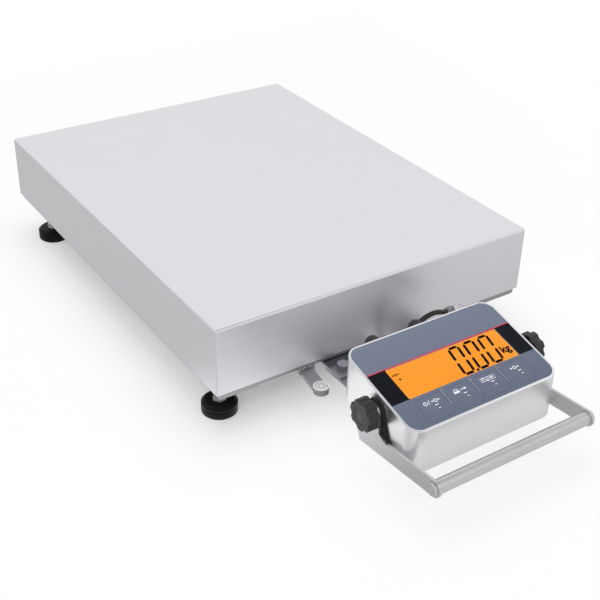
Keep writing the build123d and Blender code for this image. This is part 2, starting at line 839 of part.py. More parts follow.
def display_glass_cell():
    margin = 4.0
    return panel_cutter(
        display_width + margin, display_height + margin, 1, display_x, 0,
        skin_inner, skin_inner + display_glass)


def display_backlight():
    margin = 7.0
    return panel_cutter(
        display_width + margin, display_height + margin, 1.5, display_x, 0,
        skin_inner + display_glass, board_top)


def key(x):
    """Key: a patch level with the overlay, and a stem down to its switch."""
    patch = panel_cutter(key_width, key_height, key_corner, x, key_row_y, label_recess, label_seat)
    stem = panel_cylinder(key_stem_radius, x, key_row_y, label_seat, switch_top - key_travel - 0.05)
    return patch + stem


def main_board():
    """Circuit board behind the display, with one switch under each key."""
    board = panel_cutter(
        board_width, board_height, 2, 0, board_shift, board_top, board_top + board_thickness)
    for place in board_post_places():
        board -= panel_cylinder(
            board_screw_radius, *place, board_top - 1, board_top + board_thickness + 1)
    return board


def key_switches():
    switches = []
    for x in key_places():
        body = panel_cutter(switch_size, switch_size, 0.5, x, key_row_y, switch_top, board_top)
        switches.append(body)
    return Compound(children=switches)


def board_post_places():
    half_x = board_width / 2 - board_post_inset
    half_y = board_height / 2 - board_post_inset
    return [(x * half_x, y * half_y + board_shift) for x in (-1, 1) for y in (-1, 1)]


def board_posts():
    """Posts bonded to the front skin, with the screws that hold the board."""
    posts = []
    for place in board_post_places():
        post = panel_cylinder(board_post_radius, *place, skin_inner, board_top)
        back = board_top + board_thickness
        screw = panel_cylinder(board_screw_radius, *place, board_top, back)
        head = panel_cylinder(board_screw_head_radius, *place, back, back + board_screw_radius)
        posts.append(post + screw + head)
    return Compound(children=posts)


def cover_gasket():
    """Flat rubber seal between the flange and the rear cover."""
    low = housing_depth - cover_recess
    ring = housing_block(housing_wall + cover_gap, low, low + gasket_thickness)
    ring -= housing_block(cover_flange, low - 1, low + gasket_thickness + 1)
    for x, y in cover_screw_places():
        ring -= panel_cylinder(cover_screw_radius, x, y, low - 1, low + gasket_thickness + 1)
    return ring


def cover_screw_places():
    """Screw centres in the panel's frame, moved to follow the upright walls down to the cover."""
    drop = housing_depth - cover_recess
    shift = drop * tan(radians(panel_tilt))
    half_x = panel_width / 2 - housing_wall - cover_screw_inset
    half_y = panel_depth / 2 - housing_wall - cover_screw_inset
    reach = half_y - panel_corner_radius * 0.4
    corners = [(x * half_x, y * reach - shift) for x in (-1, 1) for y in (-1, 1)]
    return corners + [(0, half_y - shift), (0, -half_y - shift)]


def rear_cover():
    """Flat cover plate recessed into the back of the housing."""
    top = housing_depth - cover_recess + gasket_thickness
    plate = housing_block(housing_wall + cover_gap, top, top + cover_sheet)
    for x, y in cover_screw_places():
        plate -= panel_cylinder(cover_screw_radius, x, y, top - 1, top + cover_sheet + 1)
    return plate


def rear_cover_screws():
    screws = []
    top = housing_depth - cover_recess
    head_top = top + gasket_thickness + cover_sheet
    for x, y in cover_screw_places():
        shank = panel_cylinder(cover_screw_radius, x, y, top, head_top)
        head = panel_cylinder(cover_screw_head_radius, x, y, head_top, head_top + cover_screw_head)
        screws.append(shank + head)
    return Compound(children=screws)


def pivot_inserts():
    """Threaded bosses welded inside the side walls for the knobs' studs."""
    inserts = []
    inner = panel_width / 2 - housing_wall
    place = (ahead(pivot_ahead), pivot_height)
    for side in (-1, 1):
        start, end = sorted((side * (inner - insert_length), side * inner))
        body = cylinder_along("X", insert_radius, start, end, place)
        bore = cylinder_along("X", pivot_stud_radius + running_clearance, start - 1, end + 1, place)
        inserts.append(body - bore)
    return Compound(children=inserts)


def friction_pads():
    """Black pads on the ears' inner faces, which hold the housing's tilt by friction."""
    radius = ear_radius + pad_margin
    foot_rear = ahead(pivot_ahead - radius)
    outline = make_face(Polyline(
        (foot_rear, pivot_height), (ahead(pivot_ahead + radius), pivot_height),
        (ahead(ear_front_ahead), pivot_height - radius),
        (ahead(pad_front_ahead), arm_top(pad_front_ahead)),
        (ahead(pad_front_ahead), arm_top(pad_front_ahead) - arm_height / 2),
        (foot_rear, arm_top(pivot_ahead) - arm_height / 2), (foot_rear, pivot_height)))
    outline += Pos(ahead(pivot_ahead), pivot_height) * Circle(radius)
    outline -= Pos(ahead(pivot_ahead), pivot_height) * Circle(pivot_stud_radius + 0.3)
    pad = extrude(Plane.YZ * outline, pad_thickness / 2, both=True)
    middle = (panel_width / 2 + ear_inner_x) / 2
    return Compound(children=[Pos(side * middle, 0, 0) * pad for side in (-1, 1)])


def knob(side):
    """Seven-lobed hand knob with a hub and a sunk cap."""
    outline = Circle(knob_radius)
    ring = knob_radius + knob_scallop_radius - knob_scallop_depth
    outline -= PolarLocations(ring, knob_lobes) * Circle(knob_scallop_radius)
    body = Pos(0, 0, knob_hub_length) * extrude(outline, knob_length)
    ends = body.edges().group_by(Axis.Z)
    body = chamfer(ends[-1], knob_bevel)
    hub = Pos(0, 0, knob_hub_length / 2) * Cylinder(knob_hub_radius, knob_hub_length)
    total = knob_hub_length + knob_length
    recess = Pos(0, 0, total - knob_cap_depth / 2) * Cylinder(knob_cap_radius, knob_cap_depth)
    bore_length = total - stud_seat_wall
    bore = Pos(0, 0, bore_length / 2) * Cylinder(pivot_stud_radius, bore_length)
    shape = body + hub - recess - bore
    place = Pos(side * ear_outer_x, ahead(pivot_ahead), pivot_height)
    return place * Rot(0, side * 90, 0) * shape


def knob_stud(side):
    """Threaded stud moulded into the knob, which screws into the housing's insert."""
    inner = panel_width / 2 - housing_wall - insert_length
    outer = ear_outer_x + knob_hub_length + knob_length - stud_seat_wall
    start, end = sorted((side * inner, side * outer))
    return cylinder_along("X", pivot_stud_radius, start, end, (ahead(pivot_ahead), pivot_height))


def cable_gland(x):
    """Plastic gland on the rear wall: a hexagon against the wall and a ribbed dome nut."""
    hexagon_part = hexagon(gland_hex_across_flats, gland_hex_length)
    thread_length = housing_wall + gland_thread_length
    shoulder = gland_hex_length + gland_dome_length * 0.6
    top = gland_hex_length + gland_dome_length
    outline = Polyline(
        (0, -thread_length), (gland_thread_radius, -thread_length), (gland_thread_radius, 0),
        (gland_dome_radius, 0), (gland_dome_radius, shoulder),
        (gland_dome_radius * 0.87, shoulder + (top - shoulder) * 0.6),
        (gland_dome_radius * 0.62, top), (0, top), (0, -thread_length))
    turned = revolve(Plane.XZ * make_face(outline), Axis.Z)
    place = Pos(x, rear_wall_y(), gland_height) * Rot(-90, 0, 0)
    return place * (hexagon_part + turned)


def on_elbow(distance):
    """Frame on the elbow's outlet: Z points out of it, to the left and a little upwards."""
    turn = Pos(elbow_x, rear_wall_y() + elbow_reach - elbow_radius, elbow_height)
    return turn * Rot(0, elbow_lift - 90, 0) * Pos(0, 0, distance)


def lead_elbow():
    """Metal elbow fitting: out of the rear wall, then turned along the wall to the left."""
    wall = rear_wall_y()
    place = (elbow_x, elbow_height)
    body = cylinder_along("Y", elbow_radius, wall, wall + elbow_reach, place)
    body = chamfer(body.edges().group_by(Axis.Y)[-1], elbow_radius * 0.3)
    thread_start = wall - housing_wall - gland_thread_length
    body += cylinder_along("Y", gland_thread_radius, thread_start, wall, place)
    return body + on_elbow(elbow_outlet / 2) * Cylinder(elbow_outlet_radius, elbow_outlet)


def elbow_nut():
    """Hexagon nut on the elbow's outlet."""
    nut = hexagon(elbow_nut_across_flats, elbow_nut_length)
    nut = chamfer(nut.edges().group_by(Axis.Z)[-1], 0.8)
    return on_elbow(elbow_outlet) * nut


def elbow_sleeve():
    """Grey sealing sleeve that grips the lead."""
    sleeve = Pos(0, 0, elbow_sleeve_length / 2) * Cylinder(elbow_sleeve_radius, elbow_sleeve_length)
    sleeve = chamfer(sleeve.edges().group_by(Axis.Z)[-1], 1.2)
    return on_elbow(elbow_outlet + elbow_nut_length) * sleeve


def lead_route():
    """Route of the load cell lead, from the elbow to the side of the load cell."""
    outlet_end = elbow_outlet + elbow_nut_length + elbow_sleeve_length
    start = on_elbow(outlet_end).position
    second = on_elbow(outlet_end + lead_straight).position
    cell_side_y = centre_y + cell_length / 2 - lead_entry_inset
    cell_side_z = cell_bottom + lead_entry_height
    on_tray = tray_floor + lead_radius
    return [
        (start.X, start.Y, start.Z),
        (second.X, second.Y, second.Z),
        (36.5, ahead(42.6), 99.3),
        (26.6, ahead(40.8), 95.6),
        (19.6, ahead(37.8), 87.6),
        (15.9, ahead(33.8), 76.5),
        (14.9, ahead(28.6), 63.8),
        (14.1, ahead(21.4), 51.4),
        (13.4, ahead(12.4), 39.2),
        (12.8, ahead(-1.0), 33.9),
        (12.4, ahead(-17.0), 32.6),
        (12.2, ahead(-36.0), 32.6),
        (12.5, ahead(-53.5), 35.4),
        (13.2, ahead(-70.0), 42.0),
        (14.6, ahead(-86.0), 50.2),
        (18.0, ahead(-103.5), on_tray + 1.6),
        (24.5, ahead(-126.0), on_tray + 0.6),
        (34.5, ahead(-151.0), on_tray + 1.4),
        (38.5, ahead(-182.0), on_tray + 0.8),
        (37.5, ahead(-214.0), on_tray + 1.8),
        (38.5, ahead(-243.0), on_tray + 1.2),
        (41.0, ahead(-269.0), on_tray + 5.0),
        (43.8, ahead(-290.0), on_tray + 12.5),
        (46.0, cell_side_y - 27.0, cell_side_z - 0.8),
        (46.2, cell_side_y - 14.5, cell_side_z),
        (41.2, cell_side_y - 5.3, cell_side_z),
        (32.0, cell_side_y, cell_side_z),
        (cell_width / 2, cell_side_y, cell_side_z),
    ]


def bend_radii(points):
    """Largest arc that each corner of a route leaves room for."""
    radii = []
    for before, corner, after in zip(points, points[1:], points[2:]):
        first = Vector(*corner) - Vector(*before)
        second = Vector(*after) - Vector(*corner)
        half_turn = radians(first.get_angle(second)) / 2
        radii.append(0.45 * min(first.length, second.length) / tan(half_turn))
    return radii


def load_cell_lead():
    """Sheathed lead between the load cell and the indicator."""
    points = lead_route()
    radii = bend_radii(points)
    print("lead bend radii:", [round(radius, 1) for radius in radii])
    path = FilletPolyline(*points, radius=radii)
    print("lead length:", round(path.length, 1))
    first = Vector(*points[1]) - Vector(*points[0])
    section = Plane(origin=points[0], z_dir=first) * Circle(lead_radius)
    lead = sweep(section, path=path)
    expected = pi * lead_radius ** 2 * path.length
    print("lead volume over section times length:", round(lead.volume / expected, 4))
    return lead


def build():
    """All pieces by name."""
    pieces = {
        "platform_pan": platform_pan(),
        "base_side_rails": base_side_rails(),
        "base_cross_rails": base_cross_rails(),
        "rail_end_caps": rail_end_caps(),
        "load_cell_tray": load_cell_tray(),
        "load_cell": load_cell(),
        "load_cell_spacers": load_cell_spacers(),
        "load_cell_bolts": load_cell_bolts(),
        "load_plate": load_plate(),
        "load_frame_cross_rails": load_frame_cross_rails(),
        "load_frame_long_rails": load_frame_long_rails(),
        "load_frame_end_caps": load_frame_end_caps(),
        "pan_buffers": pan_buffers(),
        "overload_stops": overload_stops(),
        "foot_lock_nuts": foot_lock_nuts(),
        "level_holder": level_holder(),
        "level_vial": level_vial(),
        "level_ring": level_ring(),
        "level_screws": level_screws(),
        "mount_plate": mount_plate(),
        "indicator_bracket": indicator_bracket(),
        "bracket_bolts": bracket_bolts(),
        "side_plate_left": side_plate(-1),
        "side_plate_right": side_plate(1),
        "handle_bar": handle_bar(),
        "handle_end_caps": handle_end_caps(),
        "load_cell_lead": load_cell_lead(),
        "indicator_housing": indicator_housing(),
        "front_label": front_label(),
        "display_window": display_window(),
        "display_glass": display_glass_cell(),
        "display_backlight": display_backlight(),
        "main_board": main_board(),
        "key_switches": key_switches(),
        "board_posts": board_posts(),
        "cover_gasket": cover_gasket(),
        "rear_cover": rear_cover(),
        "rear_cover_screws": rear_cover_screws(),
        "pivot_inserts": pivot_inserts(),
        "friction_pads": friction_pads(),
        "cable_glands": Compound(children=[cable_gland(x) for x in gland_x]),
        "lead_elbow": lead_elbow(),
        "elbow_nut": elbow_nut(),
        "elbow_sleeve": elbow_sleeve(),
        "knob_left": knob(-1),
        "knob_right": knob(1),
        "knob_stud_left": knob_stud(-1),
        "knob_stud_right": knob_stud(1),
    }
    for name, (x, y) in foot_places().items():
        pieces[f"foot_{name}"] = foot_pad(x, y)
        pieces[f"foot_stud_{name}"] = foot_stud(x, y)
    for index, x in enumerate(key_places()):
        pieces[f"key_{index + 1}"] = key(x)
    return pieces


for name, shape in build().items():
    export_step(shape, f"parts/{name}.step")
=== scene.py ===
import bpy
import json
import math
import numpy as np
from mathutils import Matrix, Vector


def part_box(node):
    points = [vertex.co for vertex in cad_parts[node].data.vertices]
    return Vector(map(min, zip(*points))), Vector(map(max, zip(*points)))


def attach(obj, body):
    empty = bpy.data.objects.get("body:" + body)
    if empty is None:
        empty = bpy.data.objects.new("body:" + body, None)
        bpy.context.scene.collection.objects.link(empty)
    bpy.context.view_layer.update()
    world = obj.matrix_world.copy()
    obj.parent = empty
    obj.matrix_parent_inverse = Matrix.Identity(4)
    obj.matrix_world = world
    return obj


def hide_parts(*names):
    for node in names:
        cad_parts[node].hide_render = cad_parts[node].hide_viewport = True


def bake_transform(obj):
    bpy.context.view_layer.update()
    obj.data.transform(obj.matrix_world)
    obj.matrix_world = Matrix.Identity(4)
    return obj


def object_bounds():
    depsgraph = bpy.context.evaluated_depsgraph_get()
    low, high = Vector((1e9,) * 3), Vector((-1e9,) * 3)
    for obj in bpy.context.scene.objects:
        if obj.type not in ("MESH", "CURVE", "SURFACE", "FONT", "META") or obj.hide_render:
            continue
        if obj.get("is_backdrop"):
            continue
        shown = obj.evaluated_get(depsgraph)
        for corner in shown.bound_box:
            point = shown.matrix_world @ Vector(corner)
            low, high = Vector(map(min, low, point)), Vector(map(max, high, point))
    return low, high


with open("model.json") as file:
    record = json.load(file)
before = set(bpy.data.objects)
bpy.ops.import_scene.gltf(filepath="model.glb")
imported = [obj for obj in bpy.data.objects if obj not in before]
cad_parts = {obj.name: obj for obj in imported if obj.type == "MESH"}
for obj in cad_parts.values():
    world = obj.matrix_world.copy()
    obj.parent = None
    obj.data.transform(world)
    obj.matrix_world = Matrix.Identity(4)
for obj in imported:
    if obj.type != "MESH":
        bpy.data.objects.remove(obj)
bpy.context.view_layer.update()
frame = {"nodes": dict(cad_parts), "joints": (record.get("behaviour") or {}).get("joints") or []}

# The studio: a pale floor with a white surround, one wide soft light overhead and two weaker
# ones at the sides. The camera stands to the left in front of the scale, about 1.3 m away.
camera_place = Vector((-0.6484, -0.9557, 0.7411))
camera_turn = math.radians(-35.25)
camera_drop = math.radians(30.896)
camera_roll = math.radians(2.053)
camera_data = bpy.data.cameras.new("camera")
camera_data.sensor_width = 36.0
camera_data.lens = 65.606
camera_data.shift_x = -0.0331
camera_data.shift_y = -0.0331
camera_data.clip_start = 0.05
camera = bpy.data.objects.new("camera", camera_data)
bpy.context.scene.collection.objects.link(camera)
camera.matrix_world = (
    Matrix.Translation(camera_place)
    @ Matrix.Rotation(camera_turn, 4, "Z")
    @ Matrix.Rotation(math.pi / 2 - camera_drop, 4, "X")
    @ Matrix.Rotation(camera_roll, 4, "Z"))
bpy.context.scene.camera = camera
bpy.context.scene.view_settings.view_transform = "Standard"


def add_node(tree, kind, inputs=None, **settings):
    """Adds a node, sets its properties, and links or sets each of the named inputs."""
    node = tree.nodes.new(kind)
    for setting, value in settings.items():
        setattr(node, setting, value)
    for name, value in (inputs or {}).items():
        if isinstance(value, bpy.types.NodeSocket):
            tree.links.new(value, node.inputs[name])
        else:
            node.inputs[name].default_value = value
    return node


def calc(tree, operation, *values):
    """Adds a Math node on these numbers or sockets, and gives its result."""
    return add_node(tree, "ShaderNodeMath", dict(enumerate(values)), operation=operation).outputs[0]


def ranged(tree, value, low, high, to_low=0.0, to_high=1.0):
    """Carries a value from one range over into another, held at both ends."""
    carried = add_node(tree, "ShaderNodeMapRange", {
        "Value": value, "From Min": low, "From Max": high, "To Min": to_low, "To Max": to_high})
    return carried.outputs[0]


def set_ramp(node, stops):
    """Fills a colour ramp, whose first stop is at 0 and last at 1, with (position, colour) pairs."""
    ends = node.color_ramp.elements
    ends[0].color = stops[0][1]
    ends[1].color = stops[-1][1]
    for position, color in stops[1:-1]:
        ends.new(position).color = color


def grey(level):
    """A grey of that linear level."""
    return (level, level, level, 1)


# What the steel mirrors, by height: pale walls from the horizon up, and a dark ceiling.
world = bpy.data.worlds.new("surround")
world.use_nodes = True
sky = world.node_tree
sky.nodes.clear()
direction = add_node(sky, "ShaderNodeTexCoord")
height = add_node(sky, "ShaderNodeSeparateXYZ", {0: direction.outputs["Generated"]})
shade = add_node(sky, "ShaderNodeValToRGB", {0: height.outputs["Z"]})
set_ramp(shade, [
    (0.0, grey(0.60)), (0.15, grey(0.72)), (0.36, grey(0.92)), (0.50, grey(0.98)),
    (0.64, grey(1.0)), (0.80, grey(0.94)), (0.91, grey(0.24)), (1.0, (0.16, 0.16, 0.17, 1))])
light_level = 0.66
rays = add_node(sky, "ShaderNodeLightPath")
seen = calc(sky, "MAXIMUM", rays.outputs["Is Camera Ray"], rays.outputs["Is Transmission Ray"])
lit = add_node(sky, "ShaderNodeBackground", {"Color": grey(1), "Strength": light_level})
mirrored = add_node(sky, "ShaderNodeBackground", {"Color": shade.outputs["Color"], "Strength": 1.0})
white = add_node(sky, "ShaderNodeBackground", {"Color": grey(1), "Strength": 1.0})
in_gloss = add_node(sky, "ShaderNodeMixShader", {
    0: rays.outputs["Is Glossy Ray"], 1: lit.outputs[0], 2: mirrored.outputs[0]})
surround = add_node(sky, "ShaderNodeMixShader", {
    0: seen, 1: in_gloss.outputs[0], 2: white.outputs[0]})
add_node(sky, "ShaderNodeOutputWorld", {"Surface": surround.outputs[0]})
bpy.context.scene.world = world

floor_reach = 15
floor_mesh = bpy.data.meshes.new("floor")
floor_mesh.from_pydata(
    [(x * floor_reach, y * floor_reach, 0) for x, y in ((-1, -1), (1, -1), (1, 1), (-1, 1))],
    [], [(0, 1, 2, 3)])
floor = bpy.data.objects.new("floor", floor_mesh)
bpy.context.scene.collection.objects.link(floor)
floor_paint = bpy.data.materials.new("floor_paint")
floor_paint.use_nodes = True
paint = floor_paint.node_tree
paint.nodes.clear()
floor_rays = add_node(paint, "ShaderNodeLightPath")
floor_seen = calc(
    paint, "MAXIMUM", floor_rays.outputs["Is Camera Ray"], floor_rays.outputs["Is Transmission Ray"])
floor_at = add_node(paint, "ShaderNodeTexCoord")
floor_axes = add_node(paint, "ShaderNodeSeparateXYZ", {0: floor_at.outputs["Object"]})

# The floor as it is seen: matt under the scale, where it keeps the shadow, and shining white away
# from it. The share of white follows the distance past the pan's edge, from 10 cm inside it.
fade_start = 0.10
pan_low, pan_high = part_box("platform_pan")
past_edges = []
for axis, middle, reach in zip("XY", (pan_low + pan_high) / 2, (pan_high - pan_low) / 2):
    off_middle = calc(paint, "ABSOLUTE", calc(paint, "SUBTRACT", floor_axes.outputs[axis], middle))
    past_edges.append(calc(paint, "SUBTRACT", off_middle, reach))
past_edge = calc(paint, "MAXIMUM", *past_edges)
fade = add_node(paint, "ShaderNodeValToRGB", {0: calc(paint, "ADD", past_edge, fade_start)})
set_ramp(fade, [
    (0.0, grey(0.26)), (0.05, grey(0.28)), (0.10, grey(0.58)), (0.135, grey(0.76)),
    (0.19, grey(0.92)), (0.24, grey(0.90)), (0.36, grey(0.64)), (0.70, grey(0.96)),
    (1.0, grey(1))])
seen_share = calc(paint, "MULTIPLY", floor_seen, fade.outputs["Color"])

# The floor as the steel mirrors it: light grey, with a white card lying under the front left
# corner, and a paler strip in front of the bar. Each edge of the card fades between two places.
card_right = ranged(paint, floor_axes.outputs["X"], -0.09, -0.13)
card_left = ranged(paint, floor_axes.outputs["X"], -0.30, -0.25)
card_back = ranged(paint, floor_axes.outputs["Y"], -0.02, -0.08)
card_front = ranged(paint, floor_axes.outputs["Y"], -0.31, -0.22)
strip = ranged(paint, floor_axes.outputs["Y"], -0.36, -0.42, to_high=0.55)
card_width = calc(paint, "MULTIPLY", card_right, card_left)
card_depth = calc(paint, "MULTIPLY", card_back, card_front)
card = calc(paint, "MAXIMUM", calc(paint, "MULTIPLY", card_width, card_depth), strip)
mirror_share = calc(paint, "MULTIPLY_ADD", card, 0.10, 0.90)
mirror_level = calc(paint, "MULTIPLY_ADD", card, 0.42, 0.58)
floor_share = calc(
    paint, "MULTIPLY_ADD", floor_rays.outputs["Is Glossy Ray"], mirror_share, seen_share)
floor_level = add_node(paint, "ShaderNodeMix", {
    0: floor_rays.outputs["Is Glossy Ray"], 2: 1.0, 3: mirror_level})
matt = add_node(paint, "ShaderNodeBsdfDiffuse", {"Color": grey(0.90)})
glow = add_node(paint, "ShaderNodeEmission", {"Color": grey(1), "Strength": floor_level.outputs[0]})
floor_mix = add_node(paint, "ShaderNodeMixShader", {
    0: floor_share, 1: matt.outputs[0], 2: glow.outputs[0]})
add_node(paint, "ShaderNodeOutputMaterial", {"Surface": floor_mix.outputs[0]})
floor.data.materials.append(floor_paint)
floor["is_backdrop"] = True

lamp_target = Vector((0, -0.05, 0.05))
for lamp_name, place, size, power in (
        ("overhead", (0.15, 0.25, 1.9), 1.8, 17.0),
        ("left_front", (-1.6, -1.1, 1.2), 1.0, 7.0),
        ("right_front", (1.5, -1.4, 1.1), 1.0, 4.5)):
    lamp_data = bpy.data.lights.new(lamp_name, "AREA")
    lamp_data.size = size
    lamp_data.energy = power
    lamp = bpy.data.objects.new(lamp_name, lamp_data)
    bpy.context.scene.collection.objects.link(lamp)
    lamp.location = place
    lamp.visible_glossy = False
    lamp.rotation_euler = (lamp_target - Vector(place)).to_track_quat("-Z", "Y").to_euler()

# The base frame: rectangular stainless tube with plates welded on its open ends, and a folded
# tray between the cross rails. Mill finish, ground only at the welds.
crease_angle = math.radians(28)
shading = bpy.data.node_groups.new("shade_by_angle", "GeometryNodeTree")
shading.interface.new_socket("Geometry", in_out="INPUT", socket_type="NodeSocketGeometry")
shading.interface.new_socket("Geometry", in_out="OUTPUT", socket_type="NodeSocketGeometry")
shading_in = add_node(shading, "NodeGroupInput")
merged = add_node(shading, "GeometryNodeMergeByDistance", {
    "Geometry": shading_in.outputs[0], "Distance": 0.000002})
smooth = add_node(shading, "GeometryNodeSetShadeSmooth", {
    "Geometry": merged.outputs[0], "Shade Smooth": True})
bend = add_node(shading, "GeometryNodeInputMeshEdgeAngle")
sharp = add_node(shading, "FunctionNodeCompare", {
    0: bend.outputs["Unsigned Angle"], 1: crease_angle}, operation="GREATER_THAN")
creased = add_node(shading, "GeometryNodeSetShadeSmooth", {
    "Geometry": smooth.outputs[0], "Selection": sharp.outputs[0], "Shade Smooth": False}, domain="EDGE")
add_node(shading, "NodeGroupOutput", {0: creased.outputs[0]})


def shade_by_angle(piece):
    """Joins the piece's loose triangles when it is shown, and shades it smooth but for its creases."""
    piece.modifiers.new("shade_by_angle", "NODES").node_group = shading
    flats = piece.modifiers.new("flat_faces_first", "WEIGHTED_NORMAL")
    flats.keep_sharp = True
    flats.mode = "FACE_AREA_WITH_ANGLE"


def new_material(name, **constants):
    """A material with one Principled shader, whose plain values are set on its own sockets."""
    material = bpy.data.materials.new(name)
    material.use_nodes = True
    shader = material.node_tree.nodes["Principled BSDF"]
    for socket, value in constants.items():
        shader.inputs[socket.replace("_", " ")].default_value = value
    return material, material.node_tree, shader


def dress(material, *names):
    """Gives the named CAD pieces this material and smooth shading."""
    for name in names:
        piece = frame["nodes"][name]
        piece.data.materials[0] = material
        shade_by_angle(piece)


def new_group(name, inputs, outputs):
    """An empty node group with the named sockets; each comes with its kind and, if set, its value."""
    group = bpy.data.node_groups.new(name, "ShaderNodeTree")
    for socket, kind, value in inputs:
        made = group.interface.new_socket(socket, in_out="INPUT", socket_type="NodeSocket" + kind)
        made.default_value = value
    for socket, kind in outputs:
        group.interface.new_socket(socket, in_out="OUTPUT", socket_type="NodeSocket" + kind)
    return group


# Brushed grain: streaks drawn out along X, or along Y on faces that look sideways, over broad
# clouds. The streaks tint the colour, change the roughness and raise a very fine relief.
grain = new_group(
    "brushed_grain",
    [("Dark", "Color", (0.5, 0.5, 0.5, 1)), ("Light", "Color", (0.6, 0.6, 0.6, 1)),
     ("Smoothest", "Float", 0.25), ("Roughest", "Float", 0.4), ("Relief", "Float", 0.1),
     ("Cloudiness", "Float", 0.3)],
    [("Color", "Color"), ("Roughness", "Float"), ("Normal", "Vector")])
grain_in = add_node(grain, "NodeGroupInput")
where = add_node(grain, "ShaderNodeTexCoord")
fine, drawn_out = 1700, 22
side_on = 0.7
streaks = []
for stretch in ((drawn_out, fine, fine), (fine, drawn_out, fine)):
    stretched = add_node(grain, "ShaderNodeMapping", {
        "Vector": where.outputs["Object"], "Scale": stretch})
    streaks.append(add_node(grain, "ShaderNodeTexNoise", {
        "Vector": stretched.outputs[0], "Scale": 1.0, "Detail": 2.0}).outputs[0])
facing = add_node(grain, "ShaderNodeSeparateXYZ", {0: where.outputs["Normal"]})
looks_aside = calc(grain, "GREATER_THAN", calc(grain, "ABSOLUTE", facing.outputs["X"]), side_on)
streak = add_node(grain, "ShaderNodeMix", {0: looks_aside, 2: streaks[0], 3: streaks[1]})
cloud = add_node(grain, "ShaderNodeTexNoise", {
    "Vector": where.outputs["Object"], "Scale": 11.0, "Detail": 4.0, "Roughness": 0.6})
blend_share = add_node(grain, "ShaderNodeMix", {
    0: grain_in.outputs["Cloudiness"], 2: streak.outputs[0], 3: cloud.outputs[0]})
spread = ranged(grain, blend_share.outputs[0], 0.25, 0.75)
grain_color = add_node(grain, "ShaderNodeMix", {
    0: spread, 6: grain_in.outputs["Dark"], 7: grain_in.outputs["Light"]}, data_type="RGBA")
grain_rough = ranged(
    grain, spread, 0.0, 1.0, grain_in.outputs["Smoothest"], grain_in.outputs["Roughest"])
grain_bump = add_node(grain, "ShaderNodeBump", {
    "Height": streak.outputs[0], "Strength": grain_in.outputs["Relief"], "Distance": 0.0004})
add_node(grain, "NodeGroupOutput", {
    "Color": grain_color.outputs[2], "Roughness": grain_rough, "Normal": grain_bump.outputs[0]})


def tone(red, green, blue):
    """A colour as a screen shows it, from 0 to 255, turned into the linear values of light."""
    shown = np.array([red, green, blue]) / 255.0
    linear = np.where(shown <= 0.04045, shown / 12.92, ((shown + 0.055) / 1.055) ** 2.4)
    return (*[float(value) for value in linear], 1.0)


def grained(name, group, values, **constants):
    """A material whose colour, roughness and normal come from one of the effect groups."""
    material, tree, shader = new_material(name, **constants)
    effect = add_node(tree, "ShaderNodeGroup", node_tree=group)
    for socket, value in values.items():
        effect.inputs[socket].default_value = value
    tree.links.new(effect.outputs["Color"], shader.inputs["Base Color"])
    tree.links.new(effect.outputs["Roughness"], shader.inputs["Roughness"])
    tree.links.new(effect.outputs["Normal"], shader.inputs["Normal"])
    return material


mill_steel = grained("mill_steel", grain, {
    "Dark": tone(150, 152, 155), "Light": tone(184, 185, 188),
    "Smoothest": 0.30, "Roughest": 0.46, "Relief": 0.10, "Cloudiness": 0.5}, Metallic=1.0)
dress(
    mill_steel, "base_side_rails", "base_cross_rails", "rail_end_caps", "load_cell_tray",
    "load_cell_spacers", "load_plate", "load_frame_cross_rails", "load_frame_long_rails",
    "load_frame_end_caps")

# The levelling feet: black moulded pads on stainless studs, each locked by a nut under the rail.
# The plastic has the fine, dull grain of a spark-eroded mould.
moulded = new_group(
    "moulded_texture",
    [("Dark", "Color", (0.02, 0.02, 0.02, 1)), ("Light", "Color", (0.03, 0.03, 0.03, 1)),
     ("Smoothest", "Float", 0.35), ("Roughest", "Float", 0.5), ("Relief", "Float", 0.2)],
    [("Color", "Color"), ("Roughness", "Float"), ("Normal", "Vector")])
moulded_in = add_node(moulded, "NodeGroupInput")
moulded_at = add_node(moulded, "ShaderNodeTexCoord")
pits = add_node(moulded, "ShaderNodeTexNoise", {
    "Vector": moulded_at.outputs["Object"], "Scale": 1500.0, "Detail": 2.0})
patches = add_node(moulded, "ShaderNodeTexNoise", {
    "Vector": moulded_at.outputs["Object"], "Scale": 60.0, "Detail": 4.0})
moulded_color = add_node(moulded, "ShaderNodeMix", {
    0: patches.outputs[0], 6: moulded_in.outputs["Dark"], 7: moulded_in.outputs["Light"]},
    data_type="RGBA")
moulded_rough = ranged(
    moulded, patches.outputs[0], 0.3, 0.7,
    moulded_in.outputs["Smoothest"], moulded_in.outputs["Roughest"])
moulded_bump = add_node(moulded, "ShaderNodeBump", {
    "Height": pits.outputs[0], "Strength": moulded_in.outputs["Relief"], "Distance": 0.0002})
add_node(moulded, "NodeGroupOutput", {
    "Color": moulded_color.outputs[2], "Roughness": moulded_rough,
    "Normal": moulded_bump.outputs[0]})

foot_black = grained("foot_black", moulded, {
    "Dark": tone(6, 7, 9), "Light": tone(14, 15, 17),
    "Smoothest": 0.36, "Roughest": 0.50, "Relief": 0.15}, Specular_IOR_Level=0.16)
bright_steel = grained("bright_steel", grain, {
    "Dark": tone(185, 187, 190), "Light": tone(214, 215, 217),
    "Smoothest": 0.16, "Roughest": 0.28, "Relief": 0.05}, Metallic=1.0)
feet = [f"{end}_{side}" for end in ("front", "rear") for side in ("left", "right")]
dress(foot_black, *[f"foot_{place}" for place in feet])
dress(bright_steel, "foot_lock_nuts")

